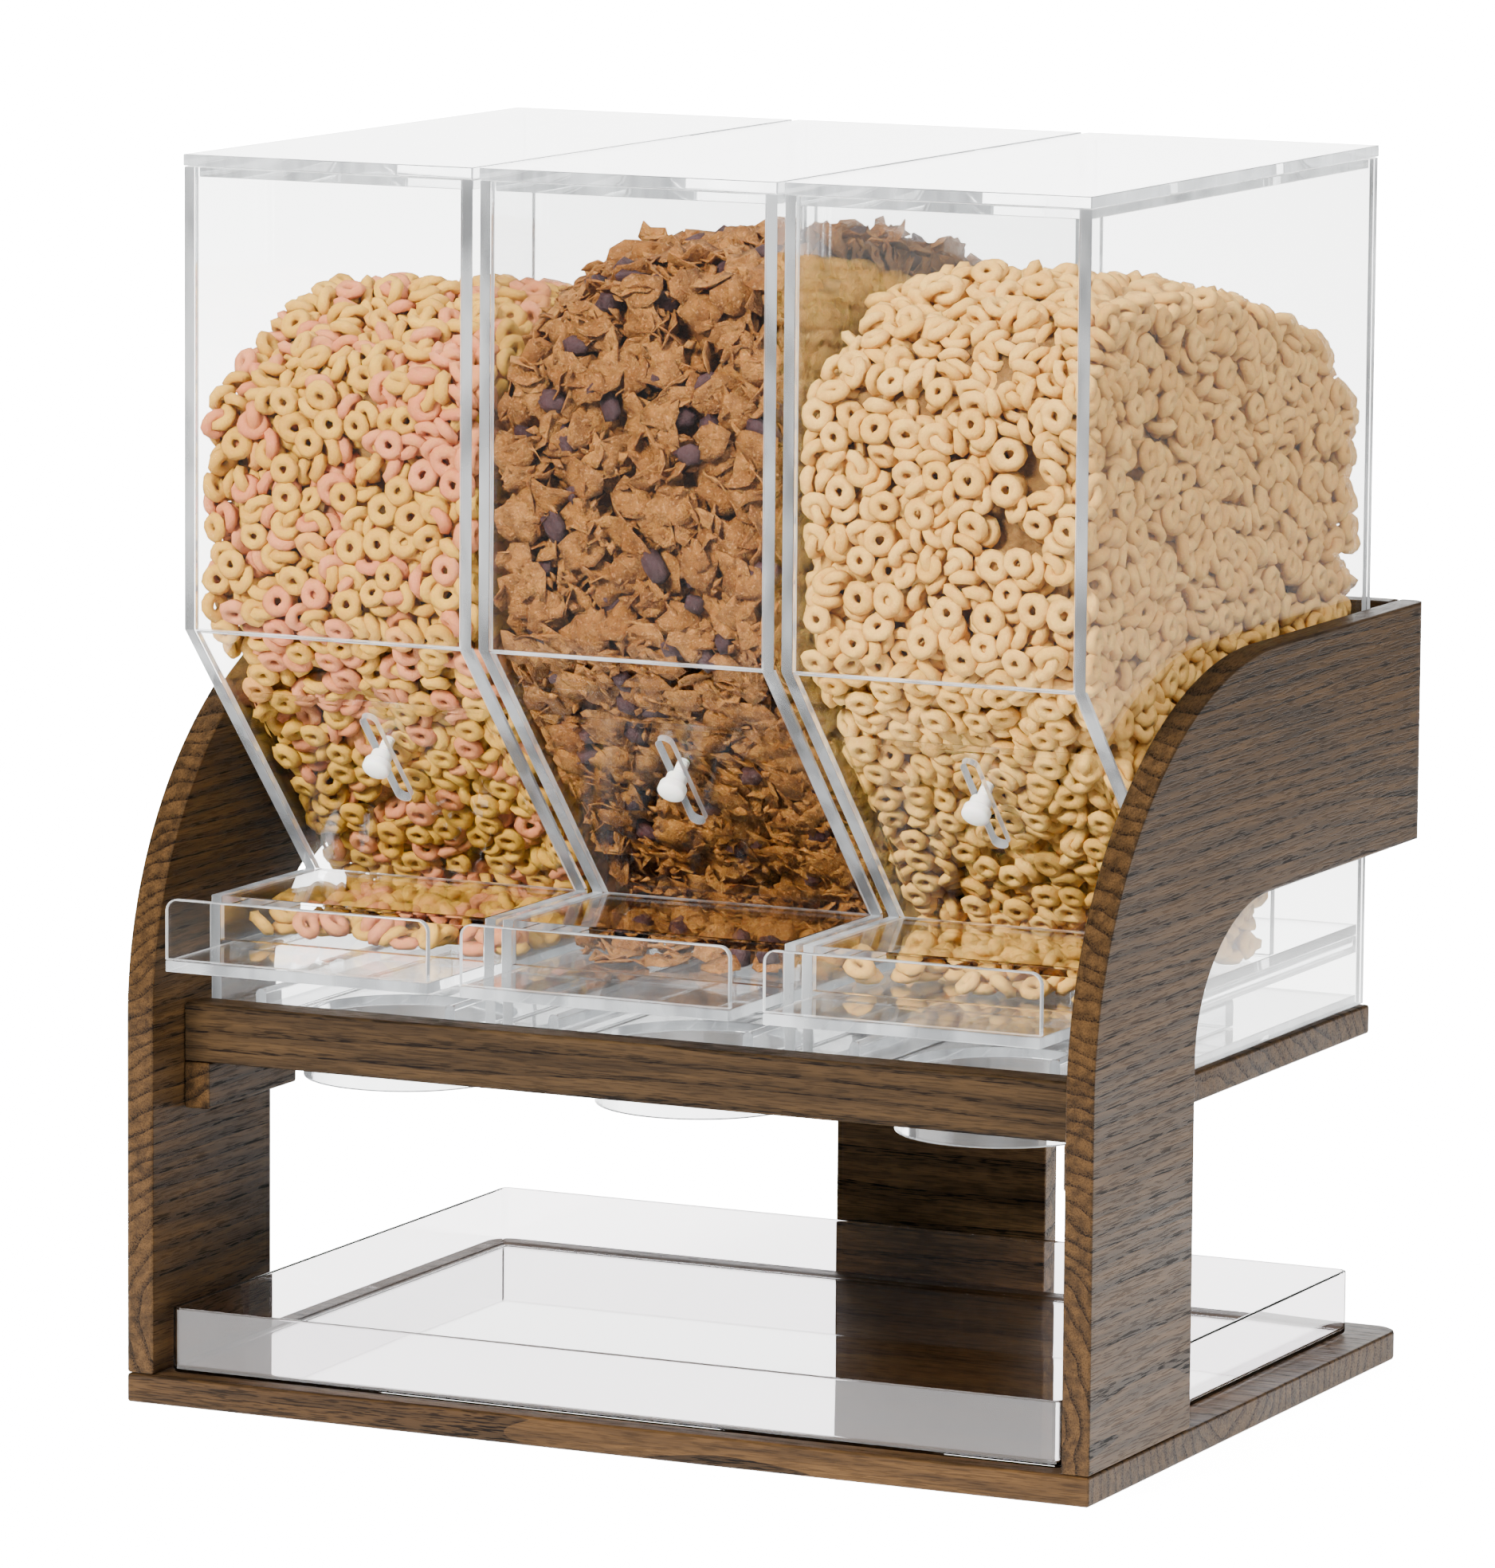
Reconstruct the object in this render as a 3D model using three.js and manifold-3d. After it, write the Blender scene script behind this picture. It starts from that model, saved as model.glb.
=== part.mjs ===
// Three-bin cereal dispenser: an oak stand carrying three clear acrylic bins, with a clear
// crumb tray on its base board. Millimetres. +X is the user's right, the front faces -Y, +Z is
// up, and the origin is the centre of the stand's footprint on the table.
import * as THREE from 'three';
import { mergeVertices } from 'three/addons/utils/BufferGeometryUtils.js';
import Module from 'manifold-3d';

const wasm = await Module();
wasm.setup();

// ---- driving dimensions -------------------------------------------------------------------
const GAP = 0.3; // clearance left between pieces that touch
const CORNER = 3; // a small corner's arc has twice as many steps
const ROUND = 16; // a large arc or circle has twice as many steps

const STAND = {
  width: 427,
  board: 12, // thickness of every board except the front rail
  depth: 329, // base board, front to back
  cornerRadius: 12,
  panelHeight: 317.5,
  legDepth: 101,
  armRear: 342,
  armUnderside: 218,
  armCornerRadius: 8,
  sweepY: 180, // the front edge is a quarter ellipse: this deep
  sweepZ: 159.5, // and this high
  crotchY: 74, // the quarter ellipse between the leg's rear and the arm's underside
  crotchZ: 58,
};
const RAIL = { front: 26, depth: 16, bottom: 138, top: 162 };
const SHELF = { rear: 315.8, bottom: 138, top: 150.2, holeRadius: 43.5 };
const CLEAT = { width: 11.5, bottom: 118.5, front: 26, rear: 101 };
const POST = { width: 98, front: 329.3, rear: 341.6 };
const TRAY = { halfWidth: 197.8, front: 8, rear: 306, height: 27, wall: 2, radius: 6 };

const PITCH = 133.4; // from one bin's centre to the next
const SHEET = 4.5; // acrylic sheet
const BASE_SHEET = 4.1; // the thinner sheet of a bin's base plate
const BIN = {
  halfWidth: 65,
  front: 21.4,
  rear: 315.8,
  top: 503,
  knee: 315.8,
  slantFoot: [124.7, 204.1], // Y and Z of the slanted panel's lower outer edge
  noseFront: 44,
  noseBottom: 186,
  bottom: 150.5,
  dividerFront: 217,
  slopeRise: 1, // the sloped floor's upper face is this much above Z = Y
};
const LID = { halfWidth: 65.3, front: 20.8, rear: 316.4, top: 508, innerInset: 5.4, innerDepth: 4.5 };
const FLOOR = { bottom: 179.9, top: 184.4, seam: 150.1, front: -4.8, railRadius: 7, railFront: 52 };
const HANDLE = { thickness: 3, top: 209.7, cornerRadius: 5 };
const DROP = { y: 90.4, holeRadius: 38.5, collarRadius: 41.7, collarBottom: 127.8 };
const FENCE = { inner: 41, outer: 45.6, front: 46, rear: 215, top: 166.5 };
const SLOT = { from: 52.5, to: 98, radius: 3.3 }; // centres of its ends, along the slant
const GATE = { halfWidth: 54, from: 45, to: 150, thickness: 3, holeRadius: 2.9 };
const SCREW = { at: 71.5, shank: 2.6, collar: 4.2, collarLength: 4, head: 5.8, headLength: 6, tip: 10.5 };

// ---- derived ------------------------------------------------------------------------------
const halfWidth = STAND.width / 2;
const panelInner = halfWidth - STAND.board;
const between = panelInner - GAP; // half width of what fits between the side panels
const wallInner = BIN.halfWidth - SHEET;
const inside = wallInner - GAP; // half width of what fits between a bin's side panels
const slantLength = Math.hypot(BIN.slantFoot[0] - BIN.front, BIN.knee - BIN.slantFoot[1]);
const along = [
  (BIN.slantFoot[0] - BIN.front) / slantLength,
  (BIN.slantFoot[1] - BIN.knee) / slantLength,
];
const inward = [-along[1], along[0]]; // unit normal of the slant, into the bin

// ---- materials ----------------------------------------------------------------------------
const oak = () => new THREE.MeshStandardMaterial({ color: 0x5f4a3a, roughness: 0.6, metalness: 0 });
const acrylic = () =>
  new THREE.MeshStandardMaterial({
    color: 0xdfe7ea,
    roughness: 0.08,
    metalness: 0,
    transparent: true,
    opacity: 0.35,
  });
const nylon = () => new THREE.MeshStandardMaterial({ color: 0xf0eee6, roughness: 0.45, metalness: 0 });

// ---- shape helpers ------------------------------------------------------------------------
function outline(points) {
  return new THREE.Shape(points.map(([u, v]) => new THREE.Vector2(u, v)));
}

function extrude(shape, length, curveSegments) {
  return new THREE.ExtrudeGeometry(shape, { depth: length, bevelEnabled: false, curveSegments });
}

/** A box between two corners. */
function box([x0, y0, z0], [x1, y1, z1]) {
  const geometry = new THREE.BoxGeometry(x1 - x0, y1 - y0, z1 - z0);
  return geometry.translate((x0 + x1) / 2, (y0 + y1) / 2, (z0 + z1) / 2);
}

/** A shape drawn in X and Y, standing on z0. */
function slabXY(shape, z0, z1, curve = CORNER) {
  return extrude(shape, z1 - z0, curve).translate(0, 0, z0);
}

/** A shape drawn in Y and Z, run along X from x0 to x1. */
function slabYZ(shape, x0, x1, curve = CORNER) {
  const turn = new THREE.Matrix4().makeBasis(
    new THREE.Vector3(0, 1, 0),
    new THREE.Vector3(0, 0, 1),
    new THREE.Vector3(1, 0, 0),
  );
  return extrude(shape, x1 - x0, curve).applyMatrix4(turn).translate(x0, 0, 0);
}

/** A shape drawn in X and Z, run along Y from y0 to y1. */
function slabXZ(shape, y0, y1) {
  const turn = new THREE.Matrix4().makeBasis(
    new THREE.Vector3(1, 0, 0),
    new THREE.Vector3(0, 0, 1),
    new THREE.Vector3(0, -1, 0),
  );
  return extrude(shape, y1 - y0, CORNER).applyMatrix4(turn).translate(0, y1, 0);
}

/** A plate lying parallel to the slanted panel: drawn across X and down the slant, at a depth. */
function slabOnSlant(shape, depth, thickness) {
  const turn = new THREE.Matrix4().makeBasis(
    new THREE.Vector3(1, 0, 0),
    new THREE.Vector3(0, along[0], along[1]),
    new THREE.Vector3(0, inward[0], inward[1]),
  );
  const [y, z] = onSlant(0, depth);
  return extrude(shape, thickness, CORNER * 2).applyMatrix4(turn).translate(0, y, z);
}

/** Y and Z of the point a distance down the slant and a depth behind its outer face. */
function onSlant(distance, depth) {
  return [
    BIN.front + distance * along[0] + depth * inward[0],
    BIN.knee + distance * along[1] + depth * inward[1],
  ];
}

function rectangle(u0, u1, v0, v1) {
  return outline([[u0, v0], [u1, v0], [u1, v1], [u0, v1]]);
}

function circleHole(u, v, radius) {
  const hole = new THREE.Path();
  hole.absarc(u, v, radius, 0, 2 * Math.PI, true);
  return hole;
}

/** A rectangle whose four corners have their own radii: low-low, high-low, high-high, low-high. */
function roundedRectangle(u0, u1, v0, v1, [a, b, c, d]) {
  const shape = new THREE.Shape();
  shape.moveTo(u0 + a, v0);
  shape.lineTo(u1 - b, v0);
  if (b) shape.absarc(u1 - b, v0 + b, b, -Math.PI / 2, 0);
  shape.lineTo(u1, v1 - c);
  if (c) shape.absarc(u1 - c, v1 - c, c, 0, Math.PI / 2);
  shape.lineTo(u0 + d, v1);
  if (d) shape.absarc(u0 + d, v1 - d, d, Math.PI / 2, Math.PI);
  shape.lineTo(u0, v0 + a);
  if (a) shape.absarc(u0 + a, v0 + a, a, Math.PI, 1.5 * Math.PI);
  return shape;
}

function toManifold(geometry) {
  const bare = new THREE.BufferGeometry();
  bare.setAttribute('position', geometry.getAttribute('position').clone());
  if (geometry.index) bare.setIndex(geometry.index.clone());
  const welded = mergeVertices(bare, 1e-4);
  return new wasm.Manifold(
    new wasm.Mesh({
      numProp: 3,
      vertProperties: new Float32Array(welded.getAttribute('position').array),
      triVerts: new Uint32Array(welded.index.array),
    }),
  );
}

function fromManifold(solid) {
  const mesh = solid.getMesh();
  const geometry = new THREE.BufferGeometry();
  geometry.setAttribute('position', new THREE.BufferAttribute(new Float32Array(mesh.vertProperties), 3));
  geometry.setIndex(new THREE.BufferAttribute(new Uint32Array(mesh.triVerts), 1));
  geometry.computeVertexNormals();
  return geometry;
}

function joined(first, ...others) {
  return fromManifold(others.reduce((sum, next) => sum.add(toManifold(next)), toManifold(first)));
}

function cut(first, second) {
  return fromManifold(toManifold(first).subtract(toManifold(second)));
}

// ---- the stand ----------------------------------------------------------------------------
/** Leg and arm in one board: a curved front edge sweeps from the leg back into the arm. */
function sidePanelShape() {
  const { panelHeight: top, sweepY, sweepZ, legDepth, crotchY, crotchZ, armUnderside } = STAND;
  const shape = new THREE.Shape();
  shape.moveTo(0, STAND.board + GAP);
  shape.lineTo(legDepth, STAND.board + GAP);
  shape.lineTo(legDepth, armUnderside - crotchZ);
  shape.absellipse(
    legDepth + crotchY, armUnderside - crotchZ, crotchY, crotchZ, Math.PI, Math.PI / 2, true, 0);
  shape.lineTo(STAND.armRear, armUnderside);
  shape.lineTo(STAND.armRear, top);
  shape.lineTo(sweepY, top);
  shape.absellipse(sweepY, top - sweepZ, sweepY, sweepZ, Math.PI / 2, Math.PI, false, 0);
  return shape;
}

/** The panel's plan, used to round the upright rear outer corner. */
function sidePanel(side) {
  const board = slabYZ(sidePanelShape(), panelInner, halfWidth, ROUND);
  const r = STAND.armCornerRadius;
  const plan = roundedRectangle(panelInner - 1, halfWidth, -1, STAND.armRear, [0, 0, r, 0]);
  const blank = slabXY(plan, 0, STAND.panelHeight + 1);
  const panel = fromManifold(toManifold(board).intersect(toManifold(blank)));
  return side < 0 ? mirrored(panel) : panel;
}

/** The mirror image across X = 0, with its faces turned to point outward again. */
function mirrored(geometry) {
  const copy = geometry.clone().scale(-1, 1, 1);
  const index = copy.index.array;
  for (let i = 0; i < index.length; i += 3) {
    [index[i], index[i + 1]] = [index[i + 1], index[i]];
  }
  copy.computeVertexNormals();
  return copy;
}

function baseBoard() {
  const r = STAND.cornerRadius;
  const plan = roundedRectangle(-halfWidth, halfWidth, 0, STAND.depth, [0, 0, r, r]);
  return slabXY(plan, 0, STAND.board);
}

function shelfBoard() {
  const plan = rectangle(-between, between, RAIL.front + RAIL.depth + GAP, SHELF.rear);
  for (const place of [-1, 0, 1]) {
    plan.holes.push(circleHole(place * PITCH, DROP.y, SHELF.holeRadius));
  }
  return slabXY(plan, SHELF.bottom, SHELF.top, ROUND);
}

function cleat(side) {
  const outer = side * between;
  const inner = side * (between - CLEAT.width);
  const [x0, x1] = [Math.min(outer, inner), Math.max(outer, inner)];
  return box([x0, CLEAT.front, CLEAT.bottom], [x1, CLEAT.rear, SHELF.bottom - GAP]);
}

function crumbTray() {
  const { halfWidth: w, front, rear, height, wall, radius: r } = TRAY;
  const floor = STAND.board + GAP;
  const outer = roundedRectangle(-w, w, front, rear, [r, r, r, r]);
  const q = r - wall;
  const inner = roundedRectangle(-w + wall, w - wall, front + wall, rear - wall, [q, q, q, q]);
  return cut(slabXY(outer, floor, floor + height), slabXY(inner, floor + wall, floor + height + 1));
}

function standPieces() {
  const railRear = RAIL.front + RAIL.depth;
  const backTop = STAND.panelHeight;
  return [
    ['base_board', baseBoard(), oak()],
    ['side_panel_left', sidePanel(-1), oak()],
    ['side_panel_right', sidePanel(1), oak()],
    ['front_rail', box([-between, RAIL.front, RAIL.bottom], [between, railRear, RAIL.top]), oak()],
    ['shelf_board', shelfBoard(), oak()],
    [
      'back_board',
      box(
        [-between, STAND.armRear - STAND.board, STAND.armUnderside],
        [between, STAND.armRear, backTop],
      ),
      oak(),
    ],
    [
      'rear_post',
      box([-POST.width / 2, POST.front, 0], [POST.width / 2, POST.rear, STAND.armUnderside - GAP]),
      oak(),
    ],
    ['cleat_left', cleat(-1), oak()],
    ['cleat_right', cleat(1), oak()],
    ['crumb_tray', crumbTray(), acrylic()],
  ];
}

// ---- one bin, built about X = 0 -----------------------------------------------------------
function binSideShape() {
  return outline([
    [BIN.front, BIN.top],
    [BIN.front, BIN.knee],
    BIN.slantFoot,
    [BIN.noseFront, BIN.slantFoot[1]],
    [BIN.noseFront, BIN.bottom],
    [BIN.rear, BIN.bottom],
    [BIN.rear, BIN.top],
  ]);
}

/** The slanted front with its slot. Its upper and lower ends are cut level. */
function slantPanel() {
  const upper = BIN.knee - GAP;
  const lower = BIN.slantFoot[1] + GAP;
  const [innerY, innerZ] = onSlant(0, SHEET);
  const atHeight = (y, z, height) => y + ((z - height) * along[0]) / -along[1];
  const section = outline([
    [atHeight(BIN.front, BIN.knee, upper), upper],
    [atHeight(BIN.front, BIN.knee, lower), lower],
    [atHeight(innerY, innerZ, lower), lower],
    [atHeight(innerY, innerZ, upper), upper],
  ]);
  const r = SLOT.radius;
  const slot = roundedRectangle(-r, r, SLOT.from - r, SLOT.to + r, [r, r, r, r]);
  return cut(slabYZ(section, -inside, inside), slabOnSlant(slot, -5, SHEET + 10));
}

/** The roof and front of the nose, in one folded section. */
function noseCover() {
  const top = BIN.slantFoot[1];
  const rear = onSlant((BIN.knee - top) / -along[1], 0)[0] + SHEET / inward[0];
  const section = outline([
    [BIN.noseFront, BIN.noseBottom],
    [BIN.noseFront + SHEET, BIN.noseBottom],
    [BIN.noseFront + SHEET, top - SHEET],
    [rear, top - SHEET],
    [rear, top],
    [BIN.noseFront, top],
  ]);
  return slabYZ(section, -inside, inside);
}

/** The sloped hopper floor and the upright divider at its lower end. */
function hopperFloor() {
  const y0 = BIN.dividerFront;
  const y1 = BIN.rear - SHEET - GAP;
  const lift = BIN.slopeRise;
  const drop = SHEET * Math.SQRT2;
  const section = outline([
    [y0, FLOOR.top + GAP],
    [y0 + SHEET, FLOOR.top + GAP],
    [y0 + SHEET, y0 + SHEET + lift - drop],
    [y1, y1 + lift - drop],
    [y1, y1 + lift],
    [y0, y0 + lift],
  ]);
  return slabYZ(section, -inside, inside);
}

/** The fixed floor behind the slide, with the quarter-round rails that carry both. */
function rearFloor() {
  const rear = BIN.rear - SHEET - GAP;
  const railTop = FLOOR.bottom - GAP;
  const r = FLOOR.railRadius;
  const rails = [-1, 1].map((side) => {
    const section = new THREE.Shape();
    section.moveTo(side * inside, railTop);
    section.lineTo(side * (inside - r), railTop);
    const from = side > 0 ? Math.PI : 0;
    const to = side > 0 ? 1.5 * Math.PI : -0.5 * Math.PI;
    section.absarc(side * inside, railTop, r, from, to, side < 0);
    return slabXZ(section, FLOOR.railFront, rear);
  });
  const plate = box([-inside, FLOOR.seam + GAP, railTop - 0.1], [inside, rear, FLOOR.top]);
  return joined(plate, ...rails);
}

function basePlate() {
  const plan = rectangle(-inside, inside, BIN.noseFront + GAP, BIN.rear - SHEET - GAP);
  plan.holes.push(circleHole(0, DROP.y, DROP.holeRadius));
  return slabXY(plan, BIN.bottom, BIN.bottom + BASE_SHEET, ROUND);
}

/** Two low strips beside the drop hole and the low wall that joins them behind it. */
function fence() {
  const { inner, outer, front, rear, top } = FENCE;
  const plan = outline([
    [-outer, front],
    [-inner, front],
    [-inner, rear - SHEET],
    [inner, rear - SHEET],
    [inner, front],
    [outer, front],
    [outer, rear],
    [-outer, rear],
  ]);
  return slabXY(plan, BIN.bottom + BASE_SHEET + GAP, top);
}

/** The tube that hangs from the base plate through the shelf. */
function collar() {
  const tube = new THREE.Shape();
  tube.absarc(0, DROP.y, DROP.collarRadius, 0, 2 * Math.PI);
  tube.holes.push(circleHole(0, DROP.y, DROP.holeRadius));
  return slabXY(tube, DROP.collarBottom, BIN.bottom - GAP, ROUND);
}

function slidePlate() {
  return box([-inside + 0.7, FLOOR.front, FLOOR.bottom], [inside - 0.7, FLOOR.seam, FLOOR.top]);
}

function handlePlate() {
  const w = inside - 0.7;
  const r = HANDLE.cornerRadius;
  const face = roundedRectangle(-w, w, FLOOR.top + GAP, HANDLE.top, [0, 0, r, r]);
  return slabXZ(face, FLOOR.front, FLOOR.front + HANDLE.thickness);
}

/** The flow-setting plate behind the slanted panel, with the screw's hole. */
function gatePlate() {
  const plate = rectangle(-GATE.halfWidth, GATE.halfWidth, GATE.from, GATE.to);
  plate.holes.push(circleHole(0, SCREW.at, GATE.holeRadius));
  return slabOnSlant(plate, SHEET + GAP, GATE.thickness);
}

/** Round-headed thumbscrew, turned about the slant's normal. */
function thumbScrew() {
  const { shank, collar: neck, collarLength, head, headLength, tip } = SCREW;
  const face = -GAP - collarLength;
  const crown = face - headLength;
  const profile = [
    [0, crown],
    [head * 0.55, crown + 0.5],
    [head * 0.87, crown + 1.6],
    [head, crown + 3.2],
    [head, face - 0.6],
    [head - 0.6, face],
    [neck, face],
    [neck, -GAP],
    [shank, -GAP],
    [shank, tip],
    [0, tip],
  ].map(([r, h]) => new THREE.Vector2(r, h));
  const turn = new THREE.Matrix4().makeBasis(
    new THREE.Vector3(1, 0, 0),
    new THREE.Vector3(0, inward[0], inward[1]),
    new THREE.Vector3(0, -inward[1], inward[0]),
  );
  const [y, z] = onSlant(SCREW.at, 0);
  return new THREE.LatheGeometry(profile, 16).applyMatrix4(turn).translate(0, y, z);
}

/** Cover plate with a smaller plate under it that drops between the bin's walls. */
function lid() {
  const { halfWidth: w, front, rear, top, innerInset: i, innerDepth } = LID;
  const seat = BIN.top + GAP;
  const cover = box([-w, front, seat], [w, rear, top]);
  const inner = box([-w + i, front + i, seat - innerDepth], [w - i, rear - i, seat + 1]);
  return joined(cover, inner);
}

function binPieces() {
  const floorRear = BIN.rear - SHEET;
  return [
    ['side_left', slabYZ(binSideShape(), -BIN.halfWidth, -wallInner), acrylic()],
    ['side_right', slabYZ(binSideShape(), wallInner, BIN.halfWidth), acrylic()],
    [
      'front_panel',
      box([-inside, BIN.front, BIN.knee], [inside, BIN.front + SHEET, BIN.top]),
      acrylic(),
    ],
    ['slant_panel', slantPanel(), acrylic()],
    ['nose_cover', noseCover(), acrylic()],
    ['back_panel', box([-inside, floorRear, BIN.bottom], [inside, BIN.rear, BIN.top]), acrylic()],
    ['hopper_floor', hopperFloor(), acrylic()],
    ['rear_floor', rearFloor(), acrylic()],
    ['base_plate', basePlate(), acrylic()],
    ['fence', fence(), acrylic()],
    ['collar', collar(), acrylic()],
    ['gate_plate', gatePlate(), acrylic()],
    ['thumb_screw', thumbScrew(), nylon()],
    ['slide_plate', slidePlate(), acrylic()],
    ['handle_plate', handlePlate(), acrylic()],
    ['lid', lid(), acrylic()],
  ];
}

// ---- assembly -----------------------------------------------------------------------------
/** Gathers named pieces in a group, each as a mesh of its own. */
function assembly(prefix, pieces) {
  const group = new THREE.Group();
  for (const [name, geometry, material] of pieces) {
    const mesh = new THREE.Mesh(geometry, material);
    mesh.name = prefix + name;
    group.add(mesh);
  }
  return group;
}

const dispenser = assembly('', standPieces());
for (const [place, name] of ['left', 'middle', 'right'].entries()) {
  const bin = assembly(`${name}_`, binPieces());
  bin.position.x = (place - 1) * PITCH;
  dispenser.add(bin);
}

// The footprint's centre, front to back, becomes the origin.
dispenser.position.y = -(FLOOR.front + STAND.armRear) / 2;
const onTable = new THREE.Group();
onTable.add(dispenser);

export default onTable;
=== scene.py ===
"""A countertop cereal dispenser: clear bins with lids and pull-out slides in an oak stand.

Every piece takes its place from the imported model's own boxes. Lengths are metres. +X is the
user's right, -Y the front, +Z up.
"""

from __future__ import annotations

import logging
import math
from collections.abc import Callable, Sequence
from dataclasses import dataclass, field, replace
from enum import Enum
from typing import ClassVar

import bpy
import numpy as np
from mathutils import Matrix, Vector
from mathutils.geometry import tessellate_polygon

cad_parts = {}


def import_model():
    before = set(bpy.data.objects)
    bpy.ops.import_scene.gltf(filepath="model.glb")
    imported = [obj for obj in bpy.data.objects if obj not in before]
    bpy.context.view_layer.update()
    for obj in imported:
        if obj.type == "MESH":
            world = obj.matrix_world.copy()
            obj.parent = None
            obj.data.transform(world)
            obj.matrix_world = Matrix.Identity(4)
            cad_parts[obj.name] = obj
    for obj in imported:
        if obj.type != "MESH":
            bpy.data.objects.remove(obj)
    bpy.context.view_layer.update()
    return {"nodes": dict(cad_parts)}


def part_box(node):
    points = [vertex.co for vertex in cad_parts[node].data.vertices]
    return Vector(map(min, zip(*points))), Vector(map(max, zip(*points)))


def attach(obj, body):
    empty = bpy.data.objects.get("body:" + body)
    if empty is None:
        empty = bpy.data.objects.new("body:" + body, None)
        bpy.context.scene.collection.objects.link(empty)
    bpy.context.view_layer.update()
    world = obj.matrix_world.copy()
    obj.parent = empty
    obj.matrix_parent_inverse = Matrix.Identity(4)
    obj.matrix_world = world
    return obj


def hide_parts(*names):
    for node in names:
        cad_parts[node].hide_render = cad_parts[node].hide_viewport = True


log = logging.getLogger("dispenser")
MM = 0.001
GAP = 0.3 * MM  # what two sheets that aren't joined stand apart
FALL = 0.73397  # how far the slant falls, and runs back, for each unit along it
RUN = 0.67918
Faces = list[list[int]]
Shape = tuple[np.ndarray, Faces]


class Grain(Enum):
    """Which way a board's grain runs, with the turn that brings it onto a pattern's Z."""

    ALONG_X = (0.0, math.pi / 2, 0.0)
    ALONG_Y = (math.pi / 2, 0.0, 0.0)
    ALONG_Z = (0.0, 0.0, 0.0)


class Place(Enum):
    """The bins' names, which start the names of their pieces."""

    LEFT = "left"
    MIDDLE = "middle"
    RIGHT = "right"


# ---- surfaces -----------------------------------------------------------------------------
@dataclass(frozen=True)
class Sketch:
    """A flat drawing board in space: a point, two directions, and the normal they make."""

    origin: tuple[float, float, float]
    across: tuple[float, float, float]
    up: tuple[float, float, float]

    def lift(self, flat: np.ndarray, depth: np.ndarray | float) -> np.ndarray:
        """Carries flat points into space: origin + u across + v up + depth normal.

        Args:
            flat: (..., 2) points on the drawing.
            depth: how far along the normal each one lies.

        Returns:
            (..., 3) points.
        """
        across, up = np.array(self.across), np.array(self.up)
        normal = np.cross(across, up)
        rise = np.broadcast_to(np.asarray(depth, float), flat.shape[:-1])[..., None]
        return np.array(self.origin) + flat[..., :1] * across + flat[..., 1:] * up + rise * normal


def level(z: float) -> Sketch:
    """A sketch that lies level, seen from above."""
    return Sketch((0, 0, z), (1, 0, 0), (0, 1, 0))


def facing(y: float) -> Sketch:
    """An upright sketch across X, whose normal points to the front."""
    return Sketch((0, y, 0), (1, 0, 0), (0, 0, 1))


def sideways(x: float) -> Sketch:
    """An upright sketch in Y and Z, whose normal points to the right."""
    return Sketch((x, 0, 0), (0, 1, 0), (0, 0, 1))


def rounded(corners: Sequence, radii: Sequence[float] | float, steps: int = 5) -> np.ndarray:
    """A polygon with arcs for corners.

    At a corner with unit directions a (in) and b (out) turning by t, the arc starts r tan(t/2)
    before the corner and runs start + r (sin p a + (1 - cos p) n) for p from 0 to t, where n is
    the normal on the side it turns to.

    Args:
        corners: the polygon's points in order.
        radii: one radius, or one for each corner.
        steps: points on each arc.

    Returns:
        (len(corners) * steps, 2) points.
    """
    p = np.array(corners, float)
    a = p - np.roll(p, 1, 0)
    a /= np.linalg.norm(a, axis=1, keepdims=True)
    b = np.roll(a, -1, 0)
    turn = np.arctan2(a[:, 0] * b[:, 1] - a[:, 1] * b[:, 0], (a * b).sum(1))
    r = np.broadcast_to(np.asarray(radii, float), turn.shape)
    start = p - a * (r * np.abs(np.tan(turn / 2)))[:, None]
    n = np.stack([-a[:, 1], a[:, 0]], 1) * np.sign(turn)[:, None]
    phase = np.abs(turn)[:, None] * np.linspace(0, 1, steps)[None]
    arc = np.sin(phase)[..., None] * a[:, None] + (1 - np.cos(phase))[..., None] * n[:, None]
    return (start[:, None] + r[:, None, None] * arc).reshape(-1, 2)


def rectangle(u0: float, u1: float, v0: float, v1: float) -> list[tuple[float, float]]:
    """The four corners of an upright rectangle, counter-clockwise."""
    return [(u0, v0), (u1, v0), (u1, v1), (u0, v1)]


def ellipse(
    centre: tuple[float, float], radii: tuple[float, float], start: float, end: float, count: int
) -> np.ndarray:
    """Points on an ellipse's arc: centre + (a cos t, b sin t), angles in degrees.

    Args:
        centre: the middle.
        radii: the two half axes.
        start: first angle.
        end: last angle.
        count: how many points.

    Returns:
        (count, 2) points.
    """
    t = np.radians(np.linspace(start, end, count))
    return np.stack([centre[0] + radii[0] * np.cos(t), centre[1] + radii[1] * np.sin(t)], 1)


def inset(loop: np.ndarray, distance: np.ndarray | float) -> np.ndarray:
    """Moves a loop's points to its left by a distance, each along the bisector of its edges.

    Args:
        loop: (n, 2) points; a counter-clockwise loop shrinks and a clockwise one grows.
        distance: how far, for all points or for each.

    Returns:
        (n, 2) points.
    """
    edge = np.roll(loop, -1, 0) - loop
    edge /= np.maximum(np.linalg.norm(edge, axis=1, keepdims=True), 1e-12)
    normal = np.stack([-edge[:, 1], edge[:, 0]], 1)
    before = np.roll(normal, 1, 0)
    bisector = (normal + before) / np.maximum(1 + (normal * before).sum(1), 0.2)[:, None]
    return loop + bisector * np.reshape(distance, (-1, 1))


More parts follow.
